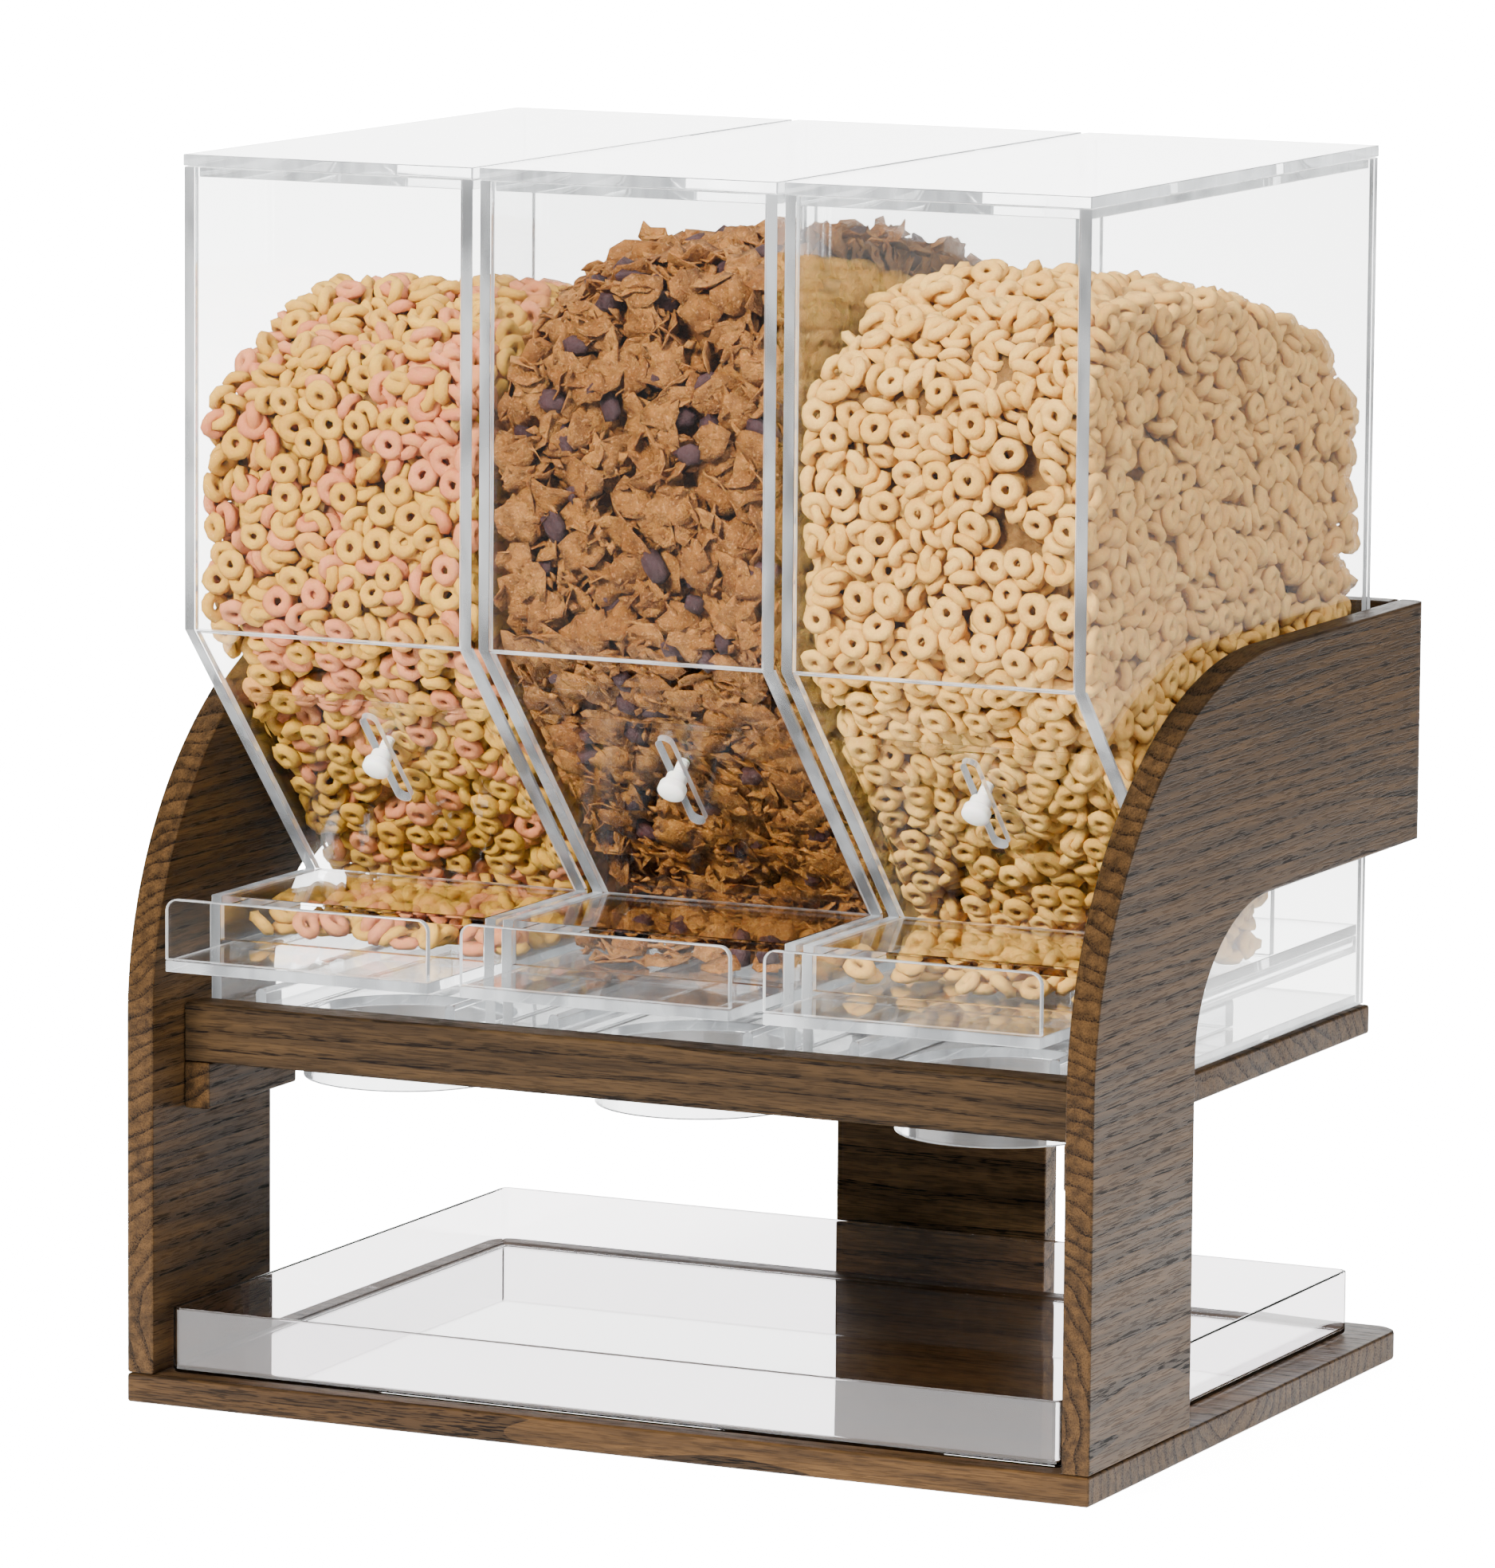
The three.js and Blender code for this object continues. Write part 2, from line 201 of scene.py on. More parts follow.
def ring_faces(rings: int, count: int, closed: bool = False, first: int = 0) -> Faces:
    """Four-sided faces between neighbouring rings of points, each ring joined round.

    Args:
        rings: how many rings.
        count: points in a ring.
        closed: whether the last ring joins the first.
        first: index of the first point.

    Returns:
        Lists of four indices.
    """
    i, j = np.meshgrid(np.arange(rings if closed else rings - 1), np.arange(count), indexing="ij")
    k, m = (i + 1) % rings, (j + 1) % count
    quads = np.stack([i * count + j, i * count + m, k * count + m, k * count + j], -1)
    return (quads.reshape(-1, 4) + first).tolist()


def fill_loops(loops: Sequence[np.ndarray]) -> np.ndarray:
    """Triangles that fill an outline with holes, all counter-clockwise.

    Args:
        loops: the outline, then the holes.

    Returns:
        (n, 3) indices into the loops' points one after another.
    """
    flat = np.concatenate(loops)
    tris = np.array(tessellate_polygon([[Vector((*xy, 0)) for xy in loop] for loop in loops]))
    a, b, c = np.moveaxis(flat[tris], 1, 0)
    area = (b - a)[:, 0] * (c - a)[:, 1] - (b - a)[:, 1] * (c - a)[:, 0]
    return np.where(area[:, None] < 0, tris[:, ::-1], tris)


def plate(
    loops: Sequence[np.ndarray],
    thickness: float,
    sketch: Sketch,
    ease: float = 0.35 * MM,
    ease_top: float | None = None,
    steps: int = 3,
    shape: Callable[[np.ndarray], np.ndarray] | None = None,
) -> Shape:
    """A flat board or sheet with rounded arrises.

    Each loop is carried through the thickness. Near a face the arris is a quarter circle: at
    angle p the loop is drawn in by e (1 - sin p) and stands e (1 - cos p) inside the face.

    Args:
        loops: the outline counter-clockwise, then any holes clockwise.
        thickness: along the sketch's normal.
        sketch: where it is drawn.
        ease: the arris radius on the first face.
        ease_top: the same on the far face, if it differs.
        steps: points on a quarter circle.
        shape: a last change to the finished points, if any.

    Returns:
        The points and the faces.
    """
    top = ease if ease_top is None else ease_top
    p = np.linspace(0, math.pi / 2, steps)
    draw = np.concatenate([ease * (1 - np.sin(p)), (top * (1 - np.sin(p)))[::-1]])
    depth = np.concatenate([ease * (1 - np.cos(p)), thickness - (top * (1 - np.cos(p)))[::-1]])
    points, faces, first = [], [], 0
    starts = []
    for loop in loops:
        rings = np.stack([inset(loop, d) for d in draw])
        points.append(sketch.lift(rings, depth[:, None]).reshape(-1, 3))
        faces += ring_faces(len(draw), len(loop), first=first)
        starts.append(first)
        first += rings.shape[0] * rings.shape[1]
    cloud = np.concatenate(points)
    for ring, flip in ((0, True), (len(draw) - 1, False)):
        members = [
            start + ring * len(loop) + np.arange(len(loop)) for start, loop in zip(starts, loops)
        ]
        cap = np.concatenate(members)[fill_loops([inset(loop, draw[ring]) for loop in loops])]
        faces += (cap[:, ::-1] if flip else cap).tolist()
    return (shape(cloud) if shape else cloud), faces


def revolve(profile: np.ndarray, sketch: Sketch, segments: int = 48, tube: bool = False) -> Shape:
    """Turns a profile of (radius, height) about the sketch's normal through its origin.

    Args:
        profile: (n, 2) radii and heights.
        sketch: its origin and normal are the axis.
        segments: steps round.
        tube: True when the profile closes on itself.

    Returns:
        The points, radius (cos t, sin t) at each height, and the faces, with flat ends closed.
    """
    t = np.linspace(0, 2 * math.pi, segments, endpoint=False)
    flat = profile[:, None, :1] * np.stack([np.cos(t), np.sin(t)], 1)[None]
    points = sketch.lift(flat, profile[:, 1:]).reshape(-1, 3)
    faces = ring_faces(len(profile), segments, closed=tube)
    if not tube:
        faces += [list(range(segments))[::-1], list(range(len(points) - segments, len(points)))]
    return points, faces


def merged(*shapes: Shape) -> Shape:
    """Several shapes as one, with their faces renumbered.

    Args:
        *shapes: points and faces of each.

    Returns:
        The points and the faces.
    """
    starts = np.cumsum([0] + [len(points) for points, _ in shapes])
    faces = [[i + int(s) for i in face] for (_, fs), s in zip(shapes, starts) for face in fs]
    return np.concatenate([points for points, _ in shapes]), faces


@dataclass(frozen=True)
class Piece:
    """What a finished shape is called, rides on, stands for and is made of."""

    name: str
    body: str
    material: bpy.types.Material
    slot: str | None = None
    stands_for: tuple[str, ...] = ()
    crisp: bool = True
    edge_sides: int = 4

    def make(self, shape: Shape, **attributes: np.ndarray) -> bpy.types.Object:
        """Makes the object and ties it to the frame.

        Args:
            shape: points and faces.
            **attributes: point attributes of one number each.

        Returns:
            The object, at the origin, with its faces turned outward.
        """
        mesh = bpy.data.meshes.new(self.name)
        mesh.from_pydata(shape[0].tolist(), [], shape[1])
        mesh.polygons.foreach_set("use_smooth", np.ones(len(mesh.polygons), bool))
        for key, values in attributes.items():
            data = mesh.attributes.new(key, "FLOAT", "POINT").data
            data.foreach_set("value", values.astype("f4"))
        mesh.update()
        mesh.calc_loop_triangles()
        tris = np.empty(len(mesh.loop_triangles) * 3, np.int32)
        mesh.loop_triangles.foreach_get("vertices", tris)
        a, b, c = np.moveaxis(shape[0][tris.reshape(-1, 3)], 1, 0)
        if (a * np.cross(b, c)).sum() < 0:
            mesh.flip_normals()
        sides = np.empty(len(mesh.polygons), np.int32)
        mesh.polygons.foreach_get("loop_total", sides)
        rim = mesh.attributes.new("rim", "FLOAT", "FACE")
        rim.data.foreach_set("value", (sides == self.edge_sides).astype("f4"))
        mesh.materials.append(self.material)
        obj = bpy.data.objects.new(self.name, mesh)
        bpy.context.scene.collection.objects.link(obj)
        if self.crisp:
            obj.modifiers.new("arrises", "WEIGHTED_NORMAL").weight = 100
        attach(obj, self.body)
        if self.stands_for:
            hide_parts(*self.stands_for)
        log.info("%s: %d faces on %s", self.name, len(mesh.polygons), self.body)
        return obj


# ---- finishes -----------------------------------------------------------------------------
class Recipe:
    """A material's node tree, with short calls to add and join nodes."""

    def __init__(self, name: str) -> None:
        """Starts an empty tree with its output.

        Args:
            name: the material's name.
        """
        self.material = bpy.data.materials.new(name)
        self.material.use_nodes = True
        self.tree = self.material.node_tree
        self.tree.nodes.clear()
        self.output = self.tree.nodes.new("ShaderNodeOutputMaterial")

    def add(self, kind: str, inputs: dict | None = None, **settings: object) -> bpy.types.Node:
        """Adds a node.

        Args:
            kind: the node type without its ShaderNode prefix.
            inputs: values or sockets for named or numbered inputs.
            **settings: the node's own properties.

        Returns:
            The node.
        """
        node = self.tree.nodes.new("ShaderNode" + kind)
        for key, value in settings.items():
            setattr(node, key, value)
        for key, value in (inputs or {}).items():
            if isinstance(value, bpy.types.NodeSocket):
                self.tree.links.new(value, node.inputs[key])
            else:
                node.inputs[key].default_value = value
        return node

    def place(self, turn: Sequence[float] = (0, 0, 0), move: Sequence[float] = (0, 0, 0),
              scale: Sequence[float] = (1, 1, 1)) -> bpy.types.NodeSocket:
        """Object coordinates, turned, moved and stretched.

        Args:
            turn: rotation in radians.
            move: offset in metres.
            scale: stretch along each axis.

        Returns:
            The vector socket.
        """
        where = self.add("TexCoord").outputs["Object"]
        turned = self.add("Mapping", {"Vector": where, "Location": move, "Rotation": turn})
        return self.add("Mapping", {"Vector": turned.outputs[0], "Scale": scale}).outputs[0]

    def noise(self, at: bpy.types.NodeSocket, scale: float, detail: float = 3,
              rough: float = 0.55) -> bpy.types.NodeSocket:
        """Noise between 0 and 1 at a number of cells per metre."""
        inputs = {"Vector": at, "Scale": scale, "Detail": detail, "Roughness": rough}
        return self.add("TexNoise", inputs).outputs["Fac"]

    def spread(self, value: bpy.types.NodeSocket, low: float, high: float, to_low: float = 0,
               to_high: float = 1) -> bpy.types.NodeSocket:
        """Carries the range low..high onto to_low..to_high and holds it there."""
        inputs = {"Value": value, 1: low, 2: high, 3: to_low, 4: to_high}
        return self.add("MapRange", inputs).outputs[0]

    def math(self, operation: str, *values: object) -> bpy.types.NodeSocket:
        """One sum or other operation on numbers or sockets."""
        return self.add("Math", dict(enumerate(values)), operation=operation).outputs[0]

    def mix(self, share: object, first: object, second: object) -> bpy.types.NodeSocket:
        """Mixes two colours by a share."""
        inputs = {0: share, 6: first, 7: second}
        return self.add("Mix", inputs, data_type="RGBA").outputs[2]

    def ramp(self, value: bpy.types.NodeSocket,
             stops: Sequence[tuple[float, Sequence[float]]]) -> bpy.types.NodeSocket:
        """A colour for each value, along a bar of colours.

        Args:
            value: the socket that is read.
            stops: positions from 0 to 1 and their colours.

        Returns:
            The colour socket.
        """
        node = self.add("ValToRGB", {"Fac": value})
        bar = node.color_ramp.elements
        while len(bar) < len(stops):
            bar.new(0.5)
        for element, (position, colour) in zip(bar, stops):
            element.position, element.color = position, (*colour, 1)
        return node.outputs[0]

    def bump(self, height: bpy.types.NodeSocket, distance: float,
             strength: float = 1.0) -> bpy.types.NodeSocket:
        """A normal from a height pattern of a depth in metres."""
        inputs = {"Height": height, "Distance": distance, "Strength": strength}
        return self.add("Bump", inputs).outputs[0]

    def finish(self, shader: bpy.types.Node) -> bpy.types.Material:
        """Joins the last shader to the output and gives the material."""
        self.tree.links.new(shader.outputs[0], self.output.inputs["Surface"])
        return self.material


@dataclass(frozen=True)
class StainedOak:
    """Ring-porous oak under a dark satin stain.

    Growth rings are shells about a pith line along the grain: the distance from it, bent by
    noise, over the ring spacing. Each ring starts with open pores, which are long thin dashes
    along the grain and dots across it.
    """

    name: str
    grain: Grain
    pith: tuple[float, float, float]
    pale: tuple[float, float, float] = (0.072, 0.0370, 0.0128)
    deep: tuple[float, float, float] = (0.0058, 0.0034, 0.0019)
    pore: tuple[float, float, float] = (0.0014, 0.001, 0.0008)
    ring: float = 7.0 * MM
    gloss: float = 0.46

    def build(self) -> bpy.types.Material:
        """Makes the material."""
        r = Recipe(self.name)
        at = r.place(self.grain.value, self.pith)
        wander = r.noise(r.place(self.grain.value, self.pith, (1, 1, 0.12)), 14, 3)
        flat = r.add("VectorMath", {0: at, 1: (1, 1, 0.03)}, operation="MULTIPLY").outputs[0]
        reach = r.add("VectorMath", {0: flat}, operation="LENGTH").outputs["Value"]
        bent = r.math("ADD", reach, r.math("MULTIPLY", wander, 0.034))
        phase = r.math("FRACT", r.math("DIVIDE", bent, self.ring))
        early = r.spread(phase, 0.0, 0.42, 1, 0)
        dash = r.noise(r.place(self.grain.value, self.pith, (1, 1, 0.06)), 1500, 3, 0.5)
        open_pore = r.spread(dash, 0.50, 0.57)
        pores = r.math("MULTIPLY", open_pore, r.math("ADD", r.math("MULTIPLY", early, 0.62), 0.36))
        fibre = r.noise(r.place(self.grain.value, self.pith, (1, 1, 0.02)), 2600, 2)
        cloud = r.noise(r.place(self.grain.value, self.pith, (1, 1, 0.3)), 22, 4)
        streak = r.noise(r.place(self.grain.value, self.pith, (1, 1, 0.05)), 260, 3)
        wood = r.mix(r.spread(early, 0, 1, 0.1, 0.9), (*self.pale, 1), (*self.deep, 1))
        wood = r.mix(r.spread(streak, 0.38, 0.66, 0, 0.75), wood, (*self.deep, 1))
        wood = r.mix(r.spread(fibre, 0.3, 0.7, 0, 0.45), wood, (*self.deep, 1))
        wood = r.mix(r.spread(cloud, 0.35, 0.75, 0, 0.35), wood, (*self.pale, 1))
        colour = r.mix(pores, wood, (*self.pore, 1))
        dull = r.math("ADD", r.spread(cloud, 0.2, 0.8, self.gloss - 0.05, self.gloss + 0.08),
                      r.math("MULTIPLY", pores, 0.25))
        relief = r.math("SUBTRACT", r.math("MULTIPLY", fibre, 0.12), pores)
        shader = r.add("BsdfPrincipled", {
            "Base Color": colour, "Roughness": dull, "Normal": r.bump(relief, 0.25 * MM, 0.5),
            "Specular IOR Level": 0.10,
        })
        return r.finish(shader)


@dataclass(frozen=True)
class ClearSheet:
    """Clear polished plastic: refracting, with handling haze and the sheet's slight waviness.

    Its cut edges, marked by the rim attribute, keep a little of the saw's frost and carry a
    painted glow, an emission of their own. A faint sheet's edges only let light through. Lamps
    shine through every sheet, so what is behind it is lit.
    """

    name: str
    tint: tuple[float, float, float] = (0.985, 0.99, 0.99)
    bend: float = 1.49
    wave: float = 0.05
    # share of the cut-edge look: the saw's frost and the painted glow
    cut: float = 0.3
    faint: bool = False

    def build(self) -> bpy.types.Material:
        """Makes the material."""
        r = Recipe(self.name)
        at = r.place()
        haze = r.spread(r.noise(at, 60, 5, 0.65), 0.45, 0.8, 0.0, 0.035)
        scuff = r.noise(r.place(scale=(1, 1, 0.2)), 420, 2)
        ripple = r.math("ADD", r.noise(at, 16, 1), r.math("MULTIPLY", scuff, 0.01))
        body = r.add("BsdfPrincipled", {
            "Base Color": (*self.tint, 1), "Roughness": haze, "IOR": self.bend,
            "Transmission Weight": 1.0, "Normal": r.bump(ripple, 0.3 * MM, self.wave),
        })
        if self.cut:
            frost = r.noise(r.place(scale=(1, 1, 0.4)), 45, 2)
            rim = r.add("Attribute", attribute_name="rim").outputs["Fac"]
            share = r.math(
                "MULTIPLY", rim, r.spread(frost, 0.35, 0.65, self.cut * 0.4, self.cut * 1.2)
            )
            edge = self.edge(r)
            body = r.add("MixShader", {0: share, 1: body.outputs[0], 2: edge.outputs[0]})
        passing = r.add("BsdfTransparent", {"Color": (*self.tint, 1)})
        lamp = r.add("LightPath").outputs["Is Shadow Ray"]
        return r.finish(r.add("MixShader", {0: lamp, 1: body.outputs[0], 2: passing.outputs[0]}))

    def edge(self, r: Recipe) -> bpy.types.Node:
        """The shader of a cut edge.

        Args:
            r: the node tree it is added to.

        Returns:
            The last node: clear on a faint sheet, and frosted and softly lit on others.
        """
        if self.faint:
            return r.add("BsdfTransparent", {"Color": (0.96, 0.97, 0.97, 1)})
        milk = r.add("BsdfDiffuse", {"Color": (0.86, 0.88, 0.90, 1)})
        thin = r.add("BsdfTranslucent", {"Color": (0.90, 0.92, 0.94, 1)})
        sawn = r.add("MixShader", {0: 0.5, 1: milk.outputs[0], 2: thin.outputs[0]})
        # painted glow: a pale blue emission on the cut edges
        painted_edge_glow = r.add("Emission", {"Color": (0.88, 0.94, 1.0, 1), "Strength": 0.9})
        return r.add("AddShader", {0: sawn.outputs[0], 1: painted_edge_glow.outputs[0]})


@dataclass(frozen=True)
class Nylon:
    """Natural white moulded nylon, slightly translucent, with a fine moulded texture."""

    name: str

    def build(self) -> bpy.types.Material:
        """Makes the material."""
        r = Recipe(self.name)
        grain = r.noise(r.place(), 2400, 3)
        tones = [(0.3, (0.86, 0.85, 0.80)), (0.7, (0.93, 0.92, 0.88))]
        shade = r.ramp(r.noise(r.place(), 120, 3), tones)
        shader = r.add("BsdfPrincipled", {
            "Base Color": shade, "Roughness": r.spread(grain, 0.3, 0.7, 0.30, 0.44),
            "Subsurface Weight": 0.25, "Subsurface Scale": 2.0 * MM,
            "Normal": r.bump(grain, 0.05 * MM, 0.4),
        })
        return r.finish(shader)


@dataclass(frozen=True)
class ToastedGrain:
    """Puffed or flaked cereal: a matt crust with pits, specks and a toasted tone per item.

    The item attribute, 0 to 1, picks an item's place on the tones. Toast darkens with noise.
    """

    name: str
    tones: tuple[tuple[float, tuple[float, float, float]], ...]
    toast: tuple[float, float, float]
    pits: float = 1100
    depth: float = 0.45 * MM
    toasted: float = 0.55
    fleck: float = 0.25

    def build(self) -> bpy.types.Material:
        """Makes the material."""
        r = Recipe(self.name)
        at = r.place()
        item = r.add("Attribute", attribute_name="item").outputs["Fac"]
        tone = r.ramp(item, self.tones)
        fine = r.noise(at, self.pits, 4, 0.6)
        broad = r.noise(at, self.pits * 0.22, 3)
        speck = r.spread(r.noise(at, self.pits * 1.9, 2), 0.60, 0.72, 0, 0.5)
        colour = r.mix(r.spread(broad, 0.35, 0.72, 0, self.toasted), tone, (*self.toast, 1))
        colour = r.mix(speck, colour, (*(0.6 * np.array(self.toast)), 1))
        light = r.spread(r.noise(at, self.pits * 0.9, 3, 0.7), 0.56, 0.66, 0, self.fleck)
        bright = np.minimum(1.25 * np.array(self.tones[-1][1]) + 0.06, 0.9)
        colour = r.mix(light, colour, (*bright, 1))
        shader = r.add("BsdfPrincipled", {
            "Base Color": colour, "Roughness": r.spread(fine, 0.3, 0.7, 0.62, 0.85),
            "Normal": r.bump(r.math("ADD", fine, broad), self.depth, 0.8),
            "Subsurface Weight": 0.12, "Subsurface Scale": 1.5 * MM,
        })
        return r.finish(shader)


# ---- the stand ----------------------------------------------------------------------------
@dataclass
class Board:
    """A plain rectangular board that takes its sizes from its node."""

    node: str
    oak: StainedOak
    arris: float = 1.1 * MM

    def build(self) -> bpy.types.Object:
        """Makes the board, drawn in plan and carried through its height."""
        low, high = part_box(self.node)
        plan = rounded(rectangle(low.x, high.x, low.y, high.y), 0.8 * MM)
        piece = Piece(f"{self.node}_wood", "stand", self.oak.build(), "oak", (self.node,))
        return piece.make(plate([plan], high.z - low.z, level(low.z), self.arris))


@dataclass
class Stand:
    """The oak stand: base, curved side panels, rail, shelf, back board, post and cleats."""

    corner: float = 12 * MM
    arm_corner: float = 8 * MM
    sweep: tuple[float, float] = (180 * MM, 159.5 * MM)
    crotch: tuple[float, float] = (74 * MM, 58 * MM)
    leg: float = 101 * MM
    arris: float = 1.1 * MM

    def build(self) -> None:
        """Makes every oak piece."""
        self.base()
        for side in (-1, 1):
            self.side_panel(side)
        self.shelf()
        for node, grain, pith in (
            ("front_rail", Grain.ALONG_X, (0.0, 0.14, -0.10)),
            ("back_board", Grain.ALONG_X, (0.0, -0.05, -0.20)),
            ("rear_post", Grain.ALONG_X, (-0.13, -0.13, 0.0)),
            ("cleat_left", Grain.ALONG_Y, (0.15, 0.06, 0.0)),
            ("cleat_right", Grain.ALONG_Y, (-0.15, 0.06, 0.0)),
        ):
            oak = StainedOak(f"oak_{node}", grain, pith)
            if node == "front_rail":
                oak = replace(oak, pale=(0.046, 0.026, 0.0105))
            if node == "rear_post":
                oak = replace(oak, pale=(0.17, 0.095, 0.040), deep=(0.014, 0.008, 0.0045),
                              ring=13 * MM)
            Board(node, oak).build()

    def base(self) -> None:
        """The base board: square in front, rounded at the rear corners."""
        low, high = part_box("base_board")
        radii = [1.0 * MM, 1.0 * MM, self.corner, self.corner]
        plan = rounded(rectangle(low.x, high.x, low.y, high.y), radii, 12)
        oak = StainedOak("oak_base", Grain.ALONG_X, (-0.022, 0.03, 0.0))
        piece = Piece("base_board_wood", "stand", oak.build(), "oak", ("base_board",))
        piece.make(plate([plan], high.z - low.z, level(low.z), self.arris))

    def side_panel(self, side: int) -> None:
        """One leg and arm. Its rear outer upright corner is a quarter circle in plan.

        Args:
            side: -1 for the left panel and 1 for the right.
        """
        node = "side_panel_right" if side > 0 else "side_panel_left"
        low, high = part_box(node)
        front, rear, foot, top = low.y, high.y, low.z, high.z
        under = high.z - 99.5 * MM
        (sy, sz), (cy, cz) = self.sweep, self.crotch
        e = 0.6 * MM
        outline = np.concatenate([
            [(front + e, foot), (front + self.leg - e, foot), (front + self.leg, foot + e)],
            ellipse((front + self.leg + cy, under - cz), (cy, cz), 180, 90, 36),
            [(rear - e, under), (rear, under + e), (rear, top - e), (rear - e, top)],
            ellipse((front + sy, top - sz), (sy, sz), 90, 180, 64),
            [(front, foot + e)],
        ])
        outer = high.x if side > 0 else low.x
        inner = low.x if side > 0 else high.x
        r = self.arm_corner

        def round_rear(points: np.ndarray) -> np.ndarray:
            """Holds y within the quarter circle of the rear outer corner.

            Args:
                points: (n, 3) points, which are changed.

            Returns:
                The points.
            """
            into = np.clip(np.abs(points[:, 0]) - (abs(outer) - r), 0, r)
            points[:, 1] = np.minimum(points[:, 1], rear - r + np.sqrt(r * r - into * into))
            return points

        layers = np.linspace(0, 1, 9) ** 0.8
        shape = self.layered(outline, (outer - inner) * layers, sideways(inner), round_rear)
        oak = StainedOak(f"oak_{node}", Grain.ALONG_Y, (side * -0.16, 0.03, 0.0), ring=6.0 * MM)
        Piece(f"{node}_wood", "stand", oak.build(), "oak", (node,)).make(shape)

    def layered(self, outline: np.ndarray, depths: np.ndarray, sketch: Sketch,
                shape: Callable[[np.ndarray], np.ndarray]) -> Shape:
        """A board with several layers of points through its thickness.

        Args:
            outline: the outline, counter-clockwise.
            depths: each layer's distance from the sketch; the ends are the faces.
            sketch: where the outline is drawn.
            shape: a change made to the points last.

        Returns:
            The points and faces, with both arrises quarter circles.
        """
        p = np.linspace(0, math.pi / 2, 4)
        e, way = self.arris, np.sign(depths[-1])
        draw = np.concatenate([
            e * (1 - np.sin(p)), np.zeros(len(depths) - 2), e * (1 - np.sin(p[::-1])),
        ])
        near = e * (1 - np.cos(p)) * way
        levels = np.concatenate([near, depths[1:-1], depths[-1] - near[::-1]])
        rings = np.stack([inset(outline, d) for d in draw])
        points = sketch.lift(rings, levels[:, None]).reshape(-1, 3)
        count = len(outline)
        cap = fill_loops([rings[0]])
        last = (len(levels) - 1) * count
        faces = ring_faces(len(levels), count) + cap[:, ::-1].tolist() + (cap + last).tolist()
        return shape(points), faces

    def shelf(self) -> None:
        """The shelf board with a round hole for each bin's collar."""
        low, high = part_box("shelf_board")
        loops = [rounded(rectangle(low.x, high.x, low.y, high.y), 0.8 * MM)]
        for place in Place:
            a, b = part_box(f"{place.value}_collar")
            radius = (b.x - a.x) / 2 + 1.8 * MM
            centre = ((a.x + b.x) / 2, (a.y + b.y) / 2)
            loops.append(ellipse(centre, (radius, radius), 360, 0, 73)[:-1])
        oak = StainedOak("oak_shelf", Grain.ALONG_X, (0.0, 0.04, 0.03))
        piece = Piece("shelf_board_wood", "stand", oak.build(), "oak", ("shelf_board",))
        piece.make(plate(loops, high.z - low.z, level(low.z), self.arris))


@dataclass
class CrumbTray:
    """The thin moulded tray: a rounded-rectangle cup with a rolled lip and a coved floor."""

    wall: float = 1.7 * MM
    corner: float = 1.9 * MM
    cove: float = 1.7 * MM

    def build(self) -> None:
        """Stacks rounded rectangles from the underside, up the wall, and down to the floor."""
        low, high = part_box("crumb_tray")
        p = np.linspace(0, math.pi / 2, 6)
        c, w, height = self.cove, self.wall, high.z - low.z
        under = np.stack([c * (1 - np.sin(p)), c * (1 - np.cos(p))], 1)
        q = np.linspace(0, math.pi, 7)
        lip = np.stack([w / 2 - w / 2 * np.cos(q), height - w / 2 + w / 2 * np.sin(q)], 1)
        floor = np.stack([w + c * (1 - np.sin(p)), w + c * (1 - np.cos(p))], 1)[::-1]
        steps = np.concatenate([under, lip, floor])
        base = rounded(rectangle(low.x, high.x, low.y, high.y), self.corner + w, 9)
        rings = np.stack([inset(base, d) for d in steps[:, 0]])
        points = level(low.z).lift(rings, steps[:, 1:]).reshape(-1, 3)
        count = len(base)
        cap = fill_loops([rings[0]])
        faces = ring_faces(len(steps), count) + cap[:, ::-1].tolist()
        faces += (cap + (len(steps) - 1) * count).tolist()
        plastic = ClearSheet("tray_plastic", (0.935, 0.912, 0.930), wave=0.04, cut=0.0).build()
        piece = Piece("crumb_tray_shell", "tray", plastic, "tray_plastic", ("crumb_tray",))
        piece.make((points, faces))


